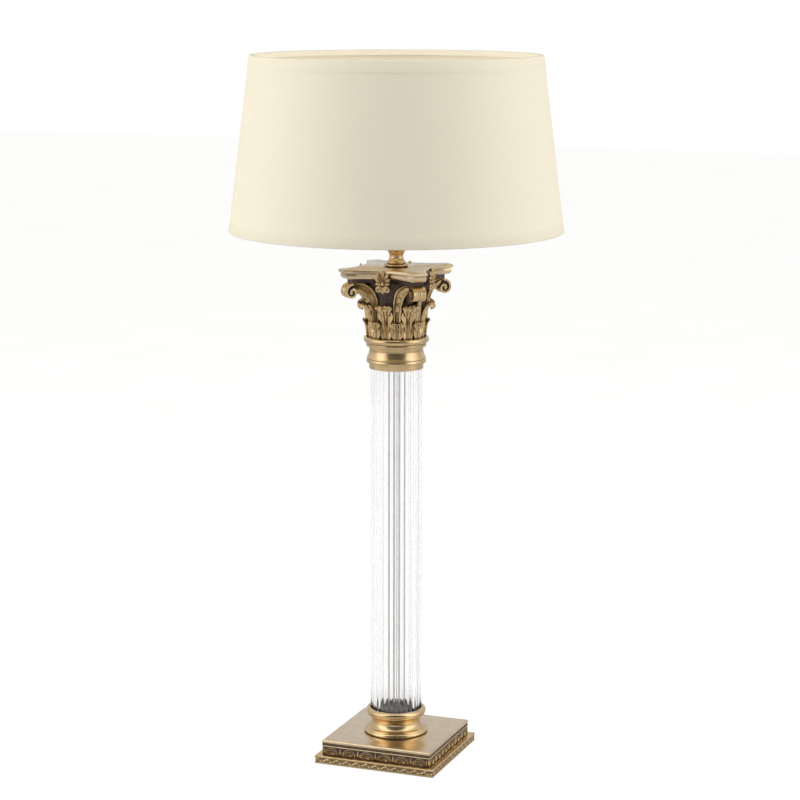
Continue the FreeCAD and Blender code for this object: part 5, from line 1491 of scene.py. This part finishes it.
@dataclass
class Shade:
    """The cream shade: a laminated cone, folded tape on both edges and the lapped seam at the back."""

    low: float = 617.5
    high: float = 814.8
    foot_radius: float = 190.0
    top_radius: float = 165.3
    wall: float = 0.8
    tape: float = 0.35
    hem_height: float = 13.0
    hem_return: float = 6.5
    wire: float = 1.75
    seam_angle: float = 102.0
    seam_width: float = 9.0
    steps: int = 256
    levels: int = 12
    fold_drift: float = 0.2

    def radius(self, height: float, inward: float = 0.0) -> float:
        """The shade's outer radius at a height, drawn in by inward."""
        slope = (self.foot_radius - self.top_radius) / (self.high - self.low)
        return self.foot_radius - slope * (height - self.low) - inward

    def marks(self, place: Vector, middle: Vector) -> Place:
        """Where a place of the shade lies on the flat cloth: round it and up it, in metres.

        Args:
            place: The corner of a face.
            middle: The face's middle, which tells on which side of the seam the corner counts.

        Returns:
            The spot on the cloth.
        """
        start = math.radians(self.seam_angle)
        full = 2 * math.pi
        about = (math.atan2(middle.y, middle.x) - start) % full
        turn = (math.atan2(place.y, place.x) - start) % full
        if turn - about > math.pi:
            turn -= full
        if about - turn > math.pi:
            turn += full
        return turn * self.foot_radius * MM, place.z + math.hypot(place.x, place.y) * self.fold_drift

    def build(self) -> None:
        """Model the shell, its seam and its two hems."""
        low, high = self.low + self.tape, self.high - self.tape
        inner = self.tape + self.wall
        heights = [low + (high - low) * step / self.levels for step in range(self.levels + 1)]
        line = [(self.radius(height, self.tape), height) for height in heights]
        line += [(self.radius(height, inner), height) for height in reversed(heights)]
        shell = Shape()
        shell.turn(line, self.steps, self.seam_angle)
        shell.piece("shade_cloth", CLOTH, Body.SHADE, "shade_shell", marks=self.marks)
        self.hem("lower_tape", self.low, 1, "bottom_hem")
        self.hem("upper_tape", self.high, -1, "top_hem")
        self.seam()

    def hem(self, name: str, edge: float, into: int, node: str) -> None:
        """Tape folded round one edge of the shade.

        Args:
            name: The piece's name.
            edge: The edge's height.
            into: 1 where the shade lies above the edge and -1 where it lies below.
            node: The CAD node it stands for.
        """
        tape = self.tape
        wire_in = tape + self.wall + self.wire * 2.1
        fold = edge + tape * into
        outer_end = edge + self.hem_height * into
        inner_end = edge + self.hem_return * into
        line = Outline(self.radius(outer_end, tape), outer_end)
        line.to((self.radius(outer_end), outer_end), (self.radius(edge + 0.8 * into), edge + 0.8 * into),
                (self.radius(edge, 0.25), edge + 0.22 * into), (self.radius(edge, 0.8), edge),
                (self.radius(edge, wire_in - 0.6), edge),
                (self.radius(edge, wire_in + tape), edge + 0.7 * into),
                (self.radius(inner_end, wire_in + tape), inner_end),
                (self.radius(inner_end, wire_in), inner_end),
                (self.radius(fold, wire_in), fold + 0.3 * into),
                (self.radius(fold, tape), fold + 0.05 * into))
        shape = Shape()
        shape.turn(line.points, self.steps, self.seam_angle)
        shape.piece(name, TAPE, Body.SHADE, node, crease=60, marks=self.marks)

    def seam(self) -> None:
        """The strip where the shell's two ends lap, from hem to hem."""
        low, high = self.low + self.hem_height, self.high - self.hem_height
        half = math.degrees(self.seam_width / 2 / self.foot_radius)
        section = ((-half, 0.36), (-half, 0.2), (0, 0.12), (half, 0.2), (half, 0.36), (0, 0.36))
        shape = Shape()
        rings = []
        for step in range(9):
            height = low + (high - low) * step / 8
            ring = []
            for turn, inward in section:
                angle = math.radians(self.seam_angle + turn)
                radius = self.radius(height, inward)
                ring.append(Vector((radius * math.cos(angle), radius * math.sin(angle), height)))
            rings.append(ring)
        shape.sweep(rings)
        shape.piece("shade_seam", CLOTH, Body.SHADE, marks=self.marks)


# ---------------------------------------------------------------- studio


@dataclass(frozen=True)
class SoftBox:
    """A square lamp that looks at the middle of the object."""

    name: str
    aside: float
    distance: float
    height: float
    size: float
    power: float


@dataclass
class Studio:
    """The camera, a pale floor and plain soft light.

    The stops of the two skies, mirrored and through, run from behind the lamp round to the camera.
    """

    camera_distance: float = 2.695
    camera_height: float = 0.918
    camera_azimuth: float = 21.0
    pitch: float = 0.1820
    yaw: float = 0.0016
    roll: float = 0.0012
    lens: float = 107.36
    floor_half: float = 9.0
    floor_glow: float = 0.76
    floor_mirrored: float = 0.35
    level_squash: float = 0.35
    mirror_gain: float = 2.0
    mirrored: tuple[Place, ...] = (
        (0.0, 0.64), (0.18, 0.66), (0.42, 0.85), (0.62, 1.65), (0.82, 1.45), (0.90, 0.20), (1.0, 0.10),
    )
    through: tuple[Place, ...] = (
        (0.0, 0.82), (0.05, 0.80), (0.14, 0.74), (0.30, 0.62), (0.48, 0.50), (0.62, 0.80), (0.76, 0.75),
        (0.84, 0.10), (1.0, 0.05),
    )
    daylight: Colour = (1.0, 0.975, 0.93)
    daylight_strength: float = 0.52
    boxes: tuple[SoftBox, ...] = (
        SoftBox("left_box", -76.0, 2.2, 0.9, 1.5, 30.0),
        SoftBox("right_box", 76.0, 2.2, 0.9, 1.5, 28.0),
        SoftBox("top_box", 0.0, 1.3, 2.6, 1.4, 12.0),
    )
    aim_height: float = 0.45
    fill_power: float = 0.28
    fill_height: float = 0.77
    fill_radius: float = 0.03

    def build(self) -> None:
        """Set the stage."""
        self.camera()
        self.floor()
        self.world()
        self.lamps()

    def toward(self, azimuth: float) -> Vector:
        """The level direction at an azimuth, 0 at the front and 90 at the right."""
        angle = math.radians(azimuth)
        return Vector((math.sin(angle), -math.cos(angle), 0))

    def camera(self) -> None:
        """Stand the camera where the photograph was taken."""
        data = bpy.data.cameras.new("camera")
        data.lens = self.lens
        data.sensor_width = 36.0
        data.clip_end = 60.0
        made = bpy.data.objects.new("camera", data)
        place = self.toward(self.camera_azimuth) * self.camera_distance + UP * self.camera_height
        level = -self.toward(self.camera_azimuth)
        heading = math.atan2(level.y, level.x) - self.yaw
        ahead = Vector((math.cos(heading) * math.cos(self.pitch), math.sin(heading) * math.cos(self.pitch),
                        -math.sin(self.pitch)))
        turn = ahead.to_track_quat("-Z", "Y").to_matrix().to_4x4() @ Matrix.Rotation(self.roll, 4, "Z")
        made.matrix_world = Matrix.Translation(place) @ turn
        bpy.context.scene.collection.objects.link(made)
        bpy.context.scene.camera = made

    def floor(self) -> None:
        """A wide pale floor that keeps a soft shadow."""
        mesh = bmesh.new()
        bmesh.ops.create_grid(mesh, x_segments=8, y_segments=8, size=self.floor_half)
        block = bpy.data.meshes.new("floor")
        mesh.to_mesh(block)
        mesh.free()
        made = bpy.data.objects.new("floor", block)
        bpy.context.scene.collection.objects.link(made)
        graph = Graph("pale_floor")
        grain = graph.noise(graph.place(), 220.0, 3.0)
        rays = graph.add("ShaderNodeLightPath")
        seen = graph.sum("ADD", rays.outputs["Is Camera Ray"], rays.outputs["Is Transmission Ray"])
        shown = graph.sum("ADD", graph.sum("MINIMUM", seen, 1.0),
                          graph.sum("MULTIPLY", rays.outputs["Is Glossy Ray"], self.floor_mirrored))
        graph.set(
            Base_Color=graph.mix(graph.range(grain, 0.3, 0.7), (0.33, 0.33, 0.33), (0.36, 0.36, 0.36)),
            Roughness=0.9,
            Emission_Color=(1.0, 1.0, 1.0),
            Emission_Strength=graph.sum("MULTIPLY", shown, self.floor_glow),
        )
        block.materials.append(graph.material)

    def world(self) -> None:
        """White behind the lamp; bright sides and a dark gap at the front for what metal mirrors."""
        world = bpy.data.worlds.new("studio")
        bpy.context.scene.world = world
        world.use_nodes = True
        tree = world.node_tree
        tree.nodes.clear()
        output = tree.nodes.new("ShaderNodeOutputWorld")
        where = tree.nodes.new("ShaderNodeTexCoord")
        rays = tree.nodes.new("ShaderNodeLightPath")
        level = tree.nodes.new("ShaderNodeVectorMath")
        level.operation = "MULTIPLY"
        tree.links.new(where.outputs["Generated"], level.inputs[0])
        level.inputs[1].default_value = (1, 1, self.level_squash)
        unit = tree.nodes.new("ShaderNodeVectorMath")
        unit.operation = "NORMALIZE"
        tree.links.new(level.outputs[0], unit.inputs[0])
        front = tree.nodes.new("ShaderNodeVectorMath")
        front.operation = "DOT_PRODUCT"
        tree.links.new(unit.outputs[0], front.inputs[0])
        front.inputs[1].default_value = self.toward(self.camera_azimuth)
        ramp = tree.nodes.new("ShaderNodeValToRGB")
        tree.links.new(front.outputs["Value"], shift(tree, ramp))
        paint(ramp, [(position, grey / self.mirror_gain) for position, grey in self.mirrored])
        mirrored = tree.nodes.new("ShaderNodeBackground")
        tree.links.new(ramp.outputs["Color"], mirrored.inputs["Color"])
        mirrored.inputs["Strength"].default_value = self.mirror_gain
        soft = tree.nodes.new("ShaderNodeBackground")
        soft.inputs["Color"].default_value = (*self.daylight, 1)
        soft.inputs["Strength"].default_value = self.daylight_strength
        through = tree.nodes.new("ShaderNodeValToRGB")
        tree.links.new(front.outputs["Value"], shift(tree, through))
        paint(through, self.through)
        clear = tree.nodes.new("ShaderNodeBackground")
        tree.links.new(through.outputs["Color"], clear.inputs["Color"])
        white = tree.nodes.new("ShaderNodeBackground")
        white.inputs["Color"].default_value = (1, 1, 1, 1)
        shown = soft.outputs[0]
        backdrops = (("Is Glossy Ray", mirrored), ("Is Transmission Ray", clear), ("Is Camera Ray", white))
        for ray, backdrop in backdrops:
            choice = tree.nodes.new("ShaderNodeMixShader")
            tree.links.new(rays.outputs[ray], choice.inputs[0])
            tree.links.new(shown, choice.inputs[1])
            tree.links.new(backdrop.outputs[0], choice.inputs[2])
            shown = choice.outputs[0]
        tree.links.new(shown, output.inputs["Surface"])

    def lamps(self) -> None:
        """Soft boxes at the sides and over the camera, and the day that soaks through the cloth."""
        for box in self.boxes:
            data = bpy.data.lights.new(box.name, "AREA")
            data.shape = "SQUARE"
            data.size = box.size
            data.energy = box.power
            made = bpy.data.objects.new(box.name, data)
            place = self.toward(self.camera_azimuth + box.aside) * box.distance + UP * box.height
            aim = UP * self.aim_height - place
            made.matrix_world = Matrix.Translation(place) @ aim.to_track_quat("-Z", "Y").to_matrix().to_4x4()
            made.visible_glossy = False
            bpy.context.scene.collection.objects.link(made)
        data = bpy.data.lights.new("inner_fill", "POINT")
        data.energy = self.fill_power
        data.shadow_soft_size = self.fill_radius
        fill = bpy.data.objects.new("inner_fill", data)
        fill.location = UP * self.fill_height
        fill.visible_glossy = False
        fill.visible_transmission = False
        bpy.context.scene.collection.objects.link(fill)


def shift(tree: bpy.types.NodeTree, ramp: bpy.types.Node) -> bpy.types.NodeSocket:
    """Feed a ramp with a value from -1 to 1.

    Args:
        tree: The tree the ramp is in.
        ramp: The ramp, which reads 0 to 1.

    Returns:
        The socket that takes the value.
    """
    node = tree.nodes.new("ShaderNodeMapRange")
    node.inputs["From Min"].default_value = -1.0
    node.inputs["From Max"].default_value = 1.0
    tree.links.new(node.outputs["Result"], ramp.inputs["Fac"])
    return node.inputs["Value"]


def paint(ramp: bpy.types.Node, stops: Sequence[Place]) -> None:
    """Set a ramp's greys.

    Args:
        ramp: The ramp.
        stops: Each stop's position and level.
    """
    elements = ramp.color_ramp.elements
    for element, (position, level) in zip(elements, (stops[0], stops[-1])):
        element.position = position
        element.color = (level, level, level, 1)
    for position, level in stops[1:-1]:
        elements.new(position).color = (level, level, level, 1)


def dress_nodes() -> None:
    """Give the CAD nodes that stay visible their finishes."""
    for name, finish in NODE_FINISHES.items():
        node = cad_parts[name]
        for slot in node.material_slots:
            slot.material = finish.material()
        log.info("%s: finished as %s", name, finish.name)


def main() -> None:
    """Build the studio and the lamp."""
    logging.basicConfig(level=logging.INFO, format="%(message)s")
    scene = bpy.context.scene
    scene.view_settings.view_transform = "Standard"
    Studio().build()
    dress_nodes()
    for part in (Plinth(), BaseRing(), GlassColumn(), Necking(), Capital(), NeckStem(), Shade()):
        part.build()
        log.info("%s is done", type(part).__name__)


if __name__ == "__main__":
    main()
